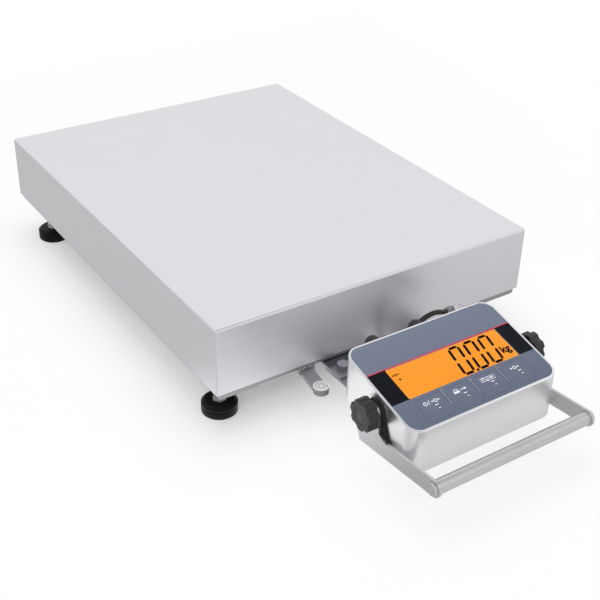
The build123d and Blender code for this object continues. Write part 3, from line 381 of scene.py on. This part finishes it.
# The thread of their studs is a zigzag along the upright axis, 1.5 mm from crest to crest, which
# raises a bump and leaves the stud round.
thread_pitch = 0.0015
stud_steel, stud_tree, stud_shader = new_material(
    "stud_steel", Base_Color=tone(196, 198, 201), Metallic=1.0, Roughness=0.28)
stud_at = add_node(stud_tree, "ShaderNodeTexCoord")
stud_axes = add_node(stud_tree, "ShaderNodeSeparateXYZ", {0: stud_at.outputs["Object"]})
crest = calc(stud_tree, "PINGPONG", stud_axes.outputs["Z"], thread_pitch / 2)
thread = add_node(stud_tree, "ShaderNodeBump", {"Height": crest, "Strength": 0.8, "Distance": 0.6})
stud_tree.links.new(thread.outputs["Normal"], stud_shader.inputs["Normal"])
dress(stud_steel, *[f"foot_stud_{place}" for place in feet])

# The load cell: an anodised aluminium bar with its screws, and above it the load frame's rubber
# buffers and the overload stops.
cell_metal = grained("cell_metal", grain, {
    "Dark": tone(190, 192, 196), "Light": tone(214, 215, 219),
    "Smoothest": 0.34, "Roughest": 0.48, "Relief": 0.08}, Metallic=1.0)
buffer_rubber = grained("buffer_rubber", moulded, {
    "Dark": tone(20, 20, 21), "Light": tone(34, 34, 35),
    "Smoothest": 0.6, "Roughest": 0.8, "Relief": 0.3})
dress(cell_metal, "load_cell")
dress(bright_steel, "load_cell_bolts", "overload_stops")
dress(buffer_rubber, "pan_buffers")

# The weighing pan: 1.5 mm stainless sheet with folded skirts. The top is finely brushed, and the
# corners are welded and ground smooth.
pan_steel = grained("pan_steel", grain, {
    "Dark": tone(230, 231, 234), "Light": tone(238, 239, 242),
    "Smoothest": 0.36, "Roughest": 0.41, "Relief": 0.012, "Cloudiness": 0.25}, Metallic=1.0)
dress(pan_steel, "platform_pan")

# The spirit level: a clear capsule with a printed circle and a bubble, in a grey moulded arm under
# a white ring, held by two small screws. The circle and the bubble are rings of colour: the circle
# is print, while the bubble's dark rim and the darkening of the liquid towards the ring's wall are
# painted shade.
holder_plastic = grained("holder_plastic", moulded, {
    "Dark": tone(132, 134, 137), "Light": tone(160, 162, 165),
    "Smoothest": 0.08, "Roughest": 0.2, "Relief": 0.03}, Transmission_Weight=0.15, IOR=1.46)
ring_plastic = grained("ring_plastic", moulded, {
    "Dark": tone(236, 236, 234), "Light": tone(246, 246, 245),
    "Smoothest": 0.25, "Roughest": 0.35, "Relief": 0.03})
vial_glass, vial_tree, vial_shader = new_material(
    "vial_glass", Roughness=0.06, Transmission_Weight=0.12, IOR=1.45, Coat_Weight=0.4)
vial_low, vial_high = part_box("level_ring")
vial_middle = (vial_low + vial_high) / 2
vial_at = add_node(vial_tree, "ShaderNodeTexCoord")
from_axis = add_node(vial_tree, "ShaderNodeVectorMath", {
    0: vial_at.outputs["Object"], 1: vial_middle}, operation="SUBTRACT")
flat_out = add_node(vial_tree, "ShaderNodeVectorMath", {
    0: from_axis.outputs[0], 1: (1.0, 1.0, 0.0)}, operation="MULTIPLY")
from_centre = add_node(vial_tree, "ShaderNodeVectorMath", {0: flat_out.outputs[0]}, operation="LENGTH")
centimetres = calc(vial_tree, "MULTIPLY", from_centre.outputs["Value"], 100.0)
vial_colour = add_node(vial_tree, "ShaderNodeValToRGB", {0: centimetres})
# The bubble's dark rim, and the last two stops that darken the liquid towards the ring's wall, are
# painted shade.
bubble, bubble_rim_shade = tone(250, 250, 249), tone(150, 154, 152)
liquid, circle_ink = tone(232, 234, 233), tone(96, 99, 99)
set_ramp(vial_colour, [
    (0.0, bubble), (0.17, bubble), (0.20, bubble_rim_shade), (0.23, liquid), (0.33, liquid),
    (0.335, circle_ink), (0.365, circle_ink), (0.37, liquid), (0.60, tone(222, 224, 223)),
    (1.0, tone(176, 178, 178))])
vial_tree.links.new(vial_colour.outputs["Color"], vial_shader.inputs["Base Color"])
dress(holder_plastic, "level_holder")
dress(ring_plastic, "level_ring")
dress(vial_glass, "level_vial")

# The bracket: a plate welded under the front rail, and a bent sheet bolted below it that reaches
# out under the indicator.
# Its steel is a darker copy of the stainless: painted shade, for the shade it lies in under the pan and
# the indicator.
shaded_bracket_steel = grained("shaded_bracket_steel", grain, {
    "Dark": tone(138, 140, 144), "Light": tone(172, 174, 178),
    "Smoothest": 0.32, "Roughest": 0.46, "Relief": 0.08, "Cloudiness": 0.5}, Metallic=1.0)
dress(shaded_bracket_steel, "mount_plate", "indicator_bracket")
# The bracket's bolts and the level's screws get a darker steel than the other bright parts: painted
# shade.
shaded_bolt_steel = grained("shaded_bolt_steel", grain, {
    "Dark": tone(140, 142, 146), "Light": tone(168, 170, 174),
    "Smoothest": 0.22, "Roughest": 0.34, "Relief": 0.05}, Metallic=1.0)
dress(shaded_bolt_steel, "bracket_bolts", "level_screws")

# The side plates and the bar between their ends: laser-cut stainless plate and round tube with a
# dull ground finish.
ground_steel = grained("ground_steel", grain, {
    "Dark": tone(198, 199, 201), "Light": tone(214, 215, 217),
    "Smoothest": 0.34, "Roughest": 0.44, "Relief": 0.03, "Cloudiness": 0.3}, Metallic=1.0)
dress(ground_steel, "side_plate_left", "side_plate_right", "handle_bar", "handle_end_caps")

# The indicator's housing: a deep-drawn stainless shell with a rolled rim, closed behind by a
# flat cover on a rubber seal.
housing_steel = grained("housing_steel", grain, {
    "Dark": tone(238, 239, 241), "Light": tone(250, 250, 251),
    "Smoothest": 0.24, "Roughest": 0.36, "Relief": 0.015, "Cloudiness": 0.4}, Metallic=1.0)
dress(housing_steel, "indicator_housing", "rear_cover")
dress(bright_steel, "rear_cover_screws", "pivot_inserts", "board_posts")
dress(buffer_rubber, "cover_gasket")

# The overlay: a printed film over the whole panel. Grey blue, with a thin red line across the top
# of the window and a dark band on each side of it. The keys are part of the same print.
window_low, window_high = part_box("display_window")
inward = Vector(next(j["axis"] for j in frame["joints"] if j["name"] == "key_1_press"))
panel_tilt = math.asin(inward.y)
window_front = 0.00105
window_centre = (window_low + window_high) / 2 - inward * window_front
window_height = 0.043
line_width = 0.0010
label_half_height = 0.062

overlay, overlay_tree, overlay_shader = new_material("overlay", Specular_IOR_Level=0.12)
print_at = add_node(overlay_tree, "ShaderNodeTexCoord")
on_print = add_node(overlay_tree, "ShaderNodeMapping", {
    "Vector": print_at.outputs["Object"], "Location": window_centre,
    "Rotation": (panel_tilt, 0, 0)}, vector_type="TEXTURE")
print_axes = add_node(overlay_tree, "ShaderNodeSeparateXYZ", {0: on_print.outputs[0]})
up_print = print_axes.outputs["Y"]
field = add_node(overlay_tree, "ShaderNodeMix", {
    0: ranged(overlay_tree, up_print, -label_half_height, label_half_height),
    6: tone(98, 105, 124), 7: tone(113, 121, 139)}, data_type="RGBA")
in_band = calc(
    overlay_tree, "LESS_THAN", calc(overlay_tree, "ABSOLUTE", up_print), window_height / 2)
banded = add_node(overlay_tree, "ShaderNodeMix", {
    0: in_band, 6: field.outputs[2], 7: tone(6, 9, 18)}, data_type="RGBA")
from_line = calc(overlay_tree, "SUBTRACT", up_print, window_height / 2 + line_width / 2)
on_line = calc(
    overlay_tree, "LESS_THAN", calc(overlay_tree, "ABSOLUTE", from_line), line_width / 2)
printed = add_node(overlay_tree, "ShaderNodeMix", {
    0: on_line, 6: banded.outputs[2], 7: tone(226, 38, 74)}, data_type="RGBA")
film_grain = add_node(overlay_tree, "ShaderNodeTexNoise", {
    "Vector": print_at.outputs["Object"], "Scale": 2600.0, "Detail": 1.0})
film_rough = ranged(overlay_tree, film_grain.outputs[0], 0.0, 1.0, 0.42, 0.54)
film_bump = add_node(overlay_tree, "ShaderNodeBump", {
    "Height": film_grain.outputs[0], "Strength": 0.06, "Distance": 0.0001})
overlay_tree.links.new(printed.outputs[2], overlay_shader.inputs["Base Color"])
overlay_tree.links.new(film_rough, overlay_shader.inputs["Roughness"])
overlay_tree.links.new(film_bump.outputs[0], overlay_shader.inputs["Normal"])
key_names = [f"key_{number}" for number in range(1, 5)]
dress(overlay, "front_label", *key_names)

# The marks on the keys: small white signs printed on the film, with a dash and a dot below each,
# and a hairline between neighbouring keys.
slope_up = np.array([0.0, math.cos(panel_tilt), math.sin(panel_tilt)])
white_ink, _, _ = new_material("white_ink", Base_Color=tone(236, 239, 244), Roughness=0.45)
sign_up = -0.0335
dash_up, dot_up, mark_width = sign_up - 0.0052, sign_up - 0.0098, 0.0009
hairline_top, hairline_foot, hairline_width = -0.0246, -0.0446, 0.00035
ink_low, ink_high = -0.00002, 0.00004
key_centres = []
for name in key_names:
    low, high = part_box(name)
    key_centres.append(float((low.x + high.x) / 2 - window_centre.x))


def on_panel(across, up, out):
    """Points on the panel: the window's centre, moved across along X, up the slope, and outwards."""
    return (
        np.array(window_centre) + np.multiply.outer(across, np.array([1.0, 0.0, 0.0]))
        + np.multiply.outer(up, slope_up) - np.multiply.outer(out, np.array(inward)))


def new_piece(name, points, faces, material):
    """A new piece out of points and faces, in this material and this slot."""
    mesh = bpy.data.meshes.new(name)
    mesh.from_pydata(points.tolist(), [], faces)
    mesh.update()
    mesh.materials.append(material)
    piece = bpy.data.objects.new(name, mesh)
    bpy.context.scene.collection.objects.link(piece)
    return piece


def printed_shapes(name, outlines, low, high, material, body):
    """Flat shapes of ink: each outline is carried from height low to height high and closed."""
    corners, faces = [], []
    start = 0
    for outline in outlines:
        outline = np.asarray(outline, float)
        count = len(outline)
        for level in (low, high):
            corners.append(on_panel(outline[:, 0], outline[:, 1], np.full(count, level)))
        here = np.arange(count)
        after = (here + 1) % count
        sides = np.stack([here, after, after + count, here + count], axis=1) + start
        faces += sides.tolist()
        faces += [(start + here[::-1]).tolist(), (start + count + here).tolist()]
        start += 2 * count
    piece = new_piece(name, np.concatenate(corners), faces, material)
    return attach(piece, body)


def line(start, end, width):
    """A straight bar between two points with square ends."""
    start, end = np.array(start, float), np.array(end, float)
    forward = (end - start) / np.linalg.norm(end - start)
    aside = np.array([-forward[1], forward[0]]) * width / 2
    return [start - aside, end - aside, end + aside, start + aside]


def arc_band(centre, radius, width, first, last, steps=24):
    """A band round a centre, from the first to the last angle in degrees."""
    angles = np.radians(np.linspace(first, last, steps))
    ray = np.stack([np.cos(angles), np.sin(angles)], axis=1)
    outer = np.array(centre) + ray * (radius + width / 2)
    inner = np.array(centre) + ray * (radius - width / 2)
    return np.concatenate([outer, inner[::-1]])


def disc(centre, radius, steps=20):
    """A round dot."""
    angles = np.linspace(0, 2 * math.pi, steps, endpoint=False)
    return np.array(centre) + radius * np.stack([np.cos(angles), np.sin(angles)], axis=1)


def ring_sign(x, up, radius, width):
    """A closed ring of ink round a point."""
    return arc_band((x, up), radius, width, 0, 360, 28)


def arrow_sign(x, up, reach, half, width):
    """A shaft with a three-cornered head at its far end; a negative reach points to the left."""
    way = 1 if reach > 0 else -1
    return [
        line((x, up), (x + reach - way * half, up), width),
        [(x + reach - way * 1.6 * half, up - way * half), (x + reach, up),
         (x + reach - way * 1.6 * half, up + way * half)]]


signs = []
x = key_centres[0]
signs.append([
    arc_band((x - 0.0074, sign_up), 0.0021, 0.0008, 125, 415),
    line((x - 0.0074, sign_up + 0.0002), (x - 0.0074, sign_up + 0.0029), 0.0008),
    line((x - 0.0040, sign_up - 0.0026), (x - 0.0020, sign_up + 0.0028), 0.0007),
    *arrow_sign(x - 0.0006, sign_up, 0.0034, 0.0012, 0.0007),
    ring_sign(x + 0.0051, sign_up, 0.0018, 0.0008),
    *arrow_sign(x + 0.0106, sign_up, -0.0034, 0.0012, 0.0007)])
x = key_centres[1]
signs.append([
    line((x - 0.0084, sign_up - 0.0012), (x - 0.0012, sign_up - 0.0012), 0.0026),
    line((x - 0.0069, sign_up + 0.0003), (x - 0.0069, sign_up + 0.0027), 0.0007),
    line((x - 0.0027, sign_up + 0.0003), (x - 0.0027, sign_up + 0.0027), 0.0007),
    line((x - 0.0072, sign_up + 0.0026), (x - 0.0024, sign_up + 0.0026), 0.0007),
    *arrow_sign(x + 0.0008, sign_up + 0.0002, 0.0078, 0.0018, 0.0009)])
x = key_centres[2]
signs.append([
    *[line((x - 0.0096, sign_up + step), (x + 0.0096, sign_up + step), 0.0006)
      for step in (-0.0022, 0.0, 0.0022)],
    disc((x - 0.0054, sign_up + 0.0022), 0.0011), disc((x + 0.0046, sign_up), 0.0011),
    disc((x - 0.0012, sign_up - 0.0022), 0.0011)])
x = key_centres[3]
signs.append([
    *arrow_sign(x - 0.0062, sign_up, 0.0036, 0.0014, 0.0008),
    ring_sign(x, sign_up, 0.0017, 0.0008),
    *arrow_sign(x + 0.0062, sign_up, -0.0036, 0.0014, 0.0008)])
for key_name, x, shapes in zip(key_names, key_centres, signs):
    shapes.append(line((x + 0.0008, dash_up), (x + 0.0052, dash_up), mark_width))
    shapes.append(line((x + 0.0026, dot_up), (x + 0.0046, dot_up), mark_width))
    printed_shapes(f"{key_name}_sign", shapes, ink_low, ink_high, white_ink, key_name)
hairlines = [
    line((middle, hairline_top), (middle, hairline_foot), hairline_width)
    for middle in ((a + b) / 2 for a, b in zip(key_centres, key_centres[1:]))]
grey_ink, _, _ = new_material("grey_ink", Base_Color=tone(186, 191, 203), Roughness=0.45)
printed_shapes("key_hairlines", hairlines, ink_low, ink_high, grey_ink, "indicator")

# The display: a backlit liquid-crystal cell behind a clear window. The cell glows orange, and
# its dark digits and unit lie just under the window.
display_glow, glow_tree, glow_shader = new_material(
    "display_glow", Base_Color=tone(20, 10, 2), Roughness=0.6, Emission_Strength=1.0,
    Specular_IOR_Level=0.0)
glow_at = add_node(glow_tree, "ShaderNodeTexCoord")
glow_cloud = add_node(glow_tree, "ShaderNodeTexNoise", {
    "Vector": glow_at.outputs["Object"], "Scale": 18.0, "Detail": 1.0})
glow_color = add_node(glow_tree, "ShaderNodeMix", {
    0: glow_cloud.outputs[0], 6: tone(255, 154, 44), 7: tone(255, 162, 54)}, data_type="RGBA")
glow_tree.links.new(glow_color.outputs[2], glow_shader.inputs["Emission Color"])
dress(display_glow, "display_glass")
clear_window, _, _ = new_material(
    "clear_window", Base_Color=(1, 1, 1, 1), Roughness=0.03, Transmission_Weight=1.0, IOR=1.15)
dress(clear_window, "display_window")
segment_black, _, _ = new_material(
    "segment_black", Base_Color=tone(6, 4, 4), Roughness=0.6, Specular_IOR_Level=0.0)


def stroke(start, end, width):
    """A straight bar between two points, pointed at both ends like a segment of a digit."""
    start, end = np.array(start, float), np.array(end, float)
    forward = (end - start) / np.linalg.norm(end - start)
    aside = np.array([-forward[1], forward[0]]) * width / 2
    step = forward * width / 2
    return [
        start, start + step - aside, end - step - aside,
        end, end - step + aside, start + step + aside]


cell_face = -0.0021
digit_reach, digit_height = 0.0121, 0.0396
segment_width, segment_gap, waist = 0.0033, 0.0005, 0.0014
top = digit_height / 2 - segment_width / 2
lean = 0.143
point_right, point_up, point_radius = 0.0228, -0.0184, 0.0018
ink_back, ink_front = cell_face - 0.00003, cell_face + 0.00012
shapes = []
for digit_right in (0.0181, 0.0383, 0.0581):
    right = digit_right - window_centre.x
    left = right - digit_reach
    for side in (left, right):
        shapes.append(stroke((side, waist), (side, top - segment_gap), segment_width))
        shapes.append(stroke((side, -waist), (side, segment_gap - top), segment_width))
    shapes.append(stroke((left + segment_gap, top), (right - segment_gap, top), segment_width))
    shapes.append(stroke((left + segment_gap, -top), (right - segment_gap, -top), segment_width))
shapes.append(disc((point_right - window_centre.x, point_up), point_radius))
leaning = []
for shape in shapes:
    shape = np.asarray(shape, float)
    leaning.append(np.stack([shape[:, 0] + lean * shape[:, 1], shape[:, 1]], axis=1))
zero_mark = (-0.0652 - window_centre.x, 0.0124)
leaning += [
    ring_sign(*zero_mark, 0.0011, 0.0008),
    disc((zero_mark[0] + 0.0012, zero_mark[1] - 0.0068), 0.0012),
    *arrow_sign(zero_mark[0] - 0.0044, zero_mark[1], 0.0028, 0.0012, 0.0008),
    *arrow_sign(zero_mark[0] + 0.0044, zero_mark[1], -0.0028, 0.0012, 0.0008)]
printed_shapes(
    "display_digits", leaning, ink_back, ink_front, segment_black, "indicator")

# The unit beside the digits: two upright letters, made a mesh and laid on the display's slope.
unit_left, unit_foot, unit_half_thickness = 0.0598, -0.0112, 0.00007
unit_text = bpy.data.curves.new("unit_text", "FONT")
unit_text.body = "kg"
unit_text.size = 0.0130
unit_text.extrude = unit_half_thickness
unit_text.offset = 0.00045
unit_outline = bpy.data.objects.new("unit_outline", unit_text)
bpy.context.scene.collection.objects.link(unit_outline)
bpy.context.view_layer.update()
unit_mesh = bpy.data.meshes.new_from_object(unit_outline)
bpy.data.objects.remove(unit_outline)
flat = np.empty(3 * len(unit_mesh.vertices))
unit_mesh.vertices.foreach_get("co", flat)
flat = flat.reshape(-1, 3)
placed = on_panel(
    flat[:, 0] + unit_left, flat[:, 1] + unit_foot, flat[:, 2] + cell_face + unit_half_thickness)
unit_mesh.vertices.foreach_set("co", placed.ravel())
unit_mesh.update()
unit_mesh.materials.clear()
unit_mesh.materials.append(segment_black)
unit = bpy.data.objects.new("display_unit", unit_mesh)
bpy.context.scene.collection.objects.link(unit)
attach(unit, "indicator")

# What holds the tilt: a friction pad inside each side plate and a hand knob outside it, of black
# moulded plastic on a steel stud. A thin cap with a raised rim closes the knob's outer face.
knob_black = grained("knob_black", moulded, {
    "Dark": tone(22, 24, 27), "Light": tone(36, 38, 41),
    "Smoothest": 0.34, "Roughest": 0.48, "Relief": 0.12})
dress(knob_black, "knob_left", "knob_right")
# The pads' near-black is partly the rubber's own colour and partly painted shade, standing for the dark
# gap between each side plate and the housing.
pad_black_and_gap_shade = grained("pad_black_and_gap_shade", moulded, {
    "Dark": tone(8, 8, 9), "Light": tone(15, 15, 16),
    "Smoothest": 0.5, "Roughest": 0.65, "Relief": 0.2}, Specular_IOR_Level=0.3)
dress(pad_black_and_gap_shade, "friction_pads")
dress(bright_steel, "knob_stud_left", "knob_stud_right")


def skin_faces(count, steps):
    """Faces of a closed skin: a fan round point 0, quads from ring to ring, a fan round point 1."""
    here = np.arange(steps)
    after = (here + 1) % steps
    ring = 2 + steps * np.arange(count - 1)[:, None]
    quads = np.stack([ring + here, ring + after, ring + steps + after, ring + steps + here], axis=-1)
    last = 2 + steps * (count - 1)
    low_fan = np.stack([np.full(steps, 0), 2 + after, 2 + here], axis=-1)
    high_fan = np.stack([np.full(steps, 1), last + here, last + after], axis=-1)
    return quads.reshape(-1, 4).tolist() + low_fan.tolist() + high_fan.tolist()


def turned(place, axis, profile, steps, ribs=0):
    """Points and faces of a turned piece: each ring has its distance along the axis and its radius.

    A third value of 1 draws the ring as a hexagon, with that radius to its flats, and one of 2
    cuts the ribs into it, as a cosine that is taken off its radius.
    """
    axis = np.array(axis, float)
    first = np.array([0.0, 0.0, 1.0]) if abs(axis[2]) < 0.5 else np.array([1.0, 0.0, 0.0])
    second = np.cross(axis, first)
    angles = np.linspace(0, 2 * math.pi, steps, endpoint=False)
    rib_depth = 0.045
    profile = np.array([(*row, 0)[:3] for row in profile], float)
    along, radius, kind = (profile[1:-1, [column]] for column in range(3))
    flat_ring = 1 / np.cos(np.mod(angles, math.pi / 3) - math.pi / 6)
    ribbed_ring = 1 - rib_depth * (0.5 + 0.5 * np.cos(ribs * angles)) ** 2
    factor = np.where(kind == 1, flat_ring, np.where(kind == 2, ribbed_ring, 1.0))
    across = (radius * factor)[..., None] * (
        np.cos(angles)[None, :, None] * first + np.sin(angles)[None, :, None] * second)
    rings = np.array(place) + along[..., None] * axis + across
    ends = np.array(place) + profile[[0, -1], :1] * axis
    points = np.concatenate([ends, rings.reshape(-1, 3)])
    return points, skin_faces(len(profile) - 2, steps)


def finished(name, parts, material, body):
    """One piece out of several lists of points and faces, smooth but for its creases."""
    points, faces, start = [], [], 0
    for part_points, part_faces in parts:
        points.append(part_points)
        faces += [[corner + start for corner in face] for face in part_faces]
        start += len(part_points)
    piece = new_piece(name, np.concatenate(points), faces, material)
    shade_by_angle(piece)
    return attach(piece, body)


cap_profile = [
    (0.0001, 0), (0.0001, 0.0087), (0.0008, 0.0087), (0.0010, 0.0084), (0.0010, 0.0068),
    (0.0005, 0.0064), (0.0005, 0.0060), (0.0010, 0.0056), (0.0011, 0.0034), (0.0011, 0)]
cap_black = grained("cap_black", moulded, {
    "Dark": tone(30, 32, 36), "Light": tone(46, 48, 52),
    "Smoothest": 0.22, "Roughest": 0.32, "Relief": 0.06})
pivot = Vector(next(j["pos_m"] for j in frame["joints"] if j["name"] == "indicator_tilt"))
cap_seat = 0.0012
cap_steps = 72
for side, way in (("left", -1), ("right", 1)):
    low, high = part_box(f"knob_{side}")
    face = high.x if way > 0 else low.x
    cap = turned((face - way * cap_seat, pivot.y, pivot.z), (way, 0, 0), cap_profile, cap_steps)
    finished(f"knob_cap_{side}", [cap], cap_black, f"knob_{side}")

# Behind the housing: two black plastic cable glands, and a metal elbow with a hexagon nut and a
# grey sleeve. The gland's nut has 18 ribs on a round body that closes in a dome.
gland_black = grained("gland_black", moulded, {
    "Dark": tone(20, 21, 23), "Light": tone(34, 35, 38),
    "Smoothest": 0.36, "Roughest": 0.5, "Relief": 0.15})
sleeve_grey = grained("sleeve_grey", moulded, {
    "Dark": tone(104, 106, 108), "Light": tone(128, 130, 132),
    "Smoothest": 0.4, "Roughest": 0.55, "Relief": 0.1})
gland_flat = 0.0095
gland_reach = 0.0180
gland_steps, gland_ribs = 144, 18
gland_profile = [
    (0, 0), (0, gland_flat, 1), (0.0054, gland_flat, 1), (0.0060, 0.0090, 1), (0.0060, 0.0088),
    (0.0064, 0.0088), (0.0066, 0.0088, 2), (0.0132, 0.0088, 2), (0.0136, 0.0087), (0.0150, 0.0085),
    (0.0163, 0.0079), (0.0173, 0.0070), (gland_reach, 0.0056), (gland_reach, 0.0042),
    (0.0172, 0.0040), (0.0172, 0)]
low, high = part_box("cable_glands")
gland_z = (low.z + high.z) / 2
half_corner = gland_flat / math.cos(math.pi / 6)
gland_wall = high.y - gland_reach
glands = [
    turned((x, gland_wall, gland_z), (0, 1, 0), gland_profile, gland_steps, gland_ribs)
    for x in (low.x + half_corner, high.x - half_corner)]
gland_piece = finished("gland_nuts", glands, gland_black, "indicator")
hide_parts("cable_glands")
dress(bright_steel, "lead_elbow", "elbow_nut")
dress(sleeve_grey, "elbow_sleeve")

# Inside the housing: the green circuit board with its black switches, and the white backlight
# behind the display's cell.
board_green, _, _ = new_material("board_green", Base_Color=tone(18, 92, 52), Roughness=0.35)
backlight_white, _, _ = new_material(
    "backlight_white", Base_Color=tone(232, 232, 230), Roughness=0.5)
dress(gland_black, "key_switches")
dress(board_green, "main_board")
dress(backlight_white, "display_backlight")

# The lead: a limp sheathed cable. It leaves the elbow's sleeve, bows down to the left, passes
# under the front rail, rises through the slot in the tray and enters the load cell's side.
sheath = grained("sheath", moulded, {
    "Dark": tone(18, 18, 20), "Light": tone(30, 30, 32),
    "Smoothest": 0.34, "Roughest": 0.46, "Relief": 0.08})
lead_diameter = 0.0056
front = -0.159625
cell_side = (0.175375, 0.074)
route = [
    (0.05595, front - 0.04307, 0.09471), (0.04561, front - 0.04307, 0.09847),
    (0.0365, front - 0.0426, 0.0993), (0.0266, front - 0.0408, 0.0956), (0.0196, front - 0.0378, 0.0876),
    (0.0159, front - 0.0338, 0.0765), (0.0149, front - 0.0286, 0.0638), (0.0141, front - 0.0214, 0.0514),
    (0.0134, front - 0.0124, 0.0392), (0.0128, front + 0.0010, 0.0339), (0.0124, front + 0.0170, 0.0326),
    (0.0122, front + 0.0360, 0.0326), (0.0125, front + 0.0535, 0.0354), (0.0132, front + 0.0700, 0.0420),
    (0.0146, front + 0.0860, 0.0502), (0.0180, front + 0.1035, 0.0554), (0.0245, front + 0.1260, 0.0544),
    (0.0345, front + 0.1510, 0.0552), (0.0385, front + 0.1820, 0.0546), (0.0375, front + 0.2140, 0.0556),
    (0.0385, front + 0.2430, 0.0550), (0.0410, front + 0.2690, 0.0588), (0.0438, front + 0.2900, 0.0663),
    (0.0460, cell_side[0] - 0.0270, cell_side[1] - 0.0008), (0.0462, cell_side[0] - 0.0145, cell_side[1]),
    (0.0412, cell_side[0] - 0.0053, cell_side[1]), (0.0320, *cell_side), (0.0200, *cell_side)]
lead_line = bpy.data.curves.new("lead_line", "CURVE")
lead_line.dimensions = "3D"
lead_line.resolution_u = 8
spline = lead_line.splines.new("NURBS")
spline.points.add(len(route) - 1)
spline.points.foreach_set("co", np.column_stack([route, np.ones(len(route))]).ravel())
spline.order_u = 3
spline.use_endpoint_u = True
line_object = bpy.data.objects.new("lead_line", lead_line)
bpy.context.scene.collection.objects.link(line_object)
bpy.context.view_layer.update()
line_mesh = bpy.data.meshes.new_from_object(line_object)
bpy.data.objects.remove(line_object)
centre_line = np.empty(3 * len(line_mesh.vertices))
line_mesh.vertices.foreach_get("co", centre_line)
centre_line = centre_line.reshape(-1, 3)


def tube_along(points, radius, steps):
    """A round tube: a ring square to the line at each point, whose start is carried on unturned."""
    ahead_of = np.gradient(points, axis=0)
    ahead_of /= np.linalg.norm(ahead_of, axis=1, keepdims=True)
    side = np.cross(ahead_of[0], (0.0, 0.0, 1.0))
    sides = []
    for way in ahead_of:
        side = side - way * (side @ way)
        side /= np.linalg.norm(side)
        sides.append(side)
    sides = np.array(sides)
    others = np.cross(ahead_of, sides)
    angles = np.linspace(0, 2 * math.pi, steps, endpoint=False)[None, :, None]
    outwards = np.cos(angles) * sides[:, None] + np.sin(angles) * others[:, None]
    rings = points[:, None] + radius * outwards
    corners = np.concatenate([points[[0, -1]], rings.reshape(-1, 3)])
    return corners, skin_faces(len(points), steps)


lead_steps = 24
lead_points, lead_faces = tube_along(centre_line, lead_diameter / 2, lead_steps)
lead = new_piece("lead", lead_points, lead_faces, sheath)
shade_by_angle(lead)
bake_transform(lead)
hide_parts("load_cell_lead")

# The pan's skirt is too dull to mirror the indicator, which stands close in front of it, so these
# pieces stay out of what the steel reflects.
for name in (
        "indicator_housing", "rear_cover", "cover_gasket", "front_label", "display_window",
        "display_glass", "display_backlight", "main_board", "board_posts", *key_names):
    frame["nodes"][name].visible_glossy = False
gland_piece.visible_glossy = False

low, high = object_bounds()
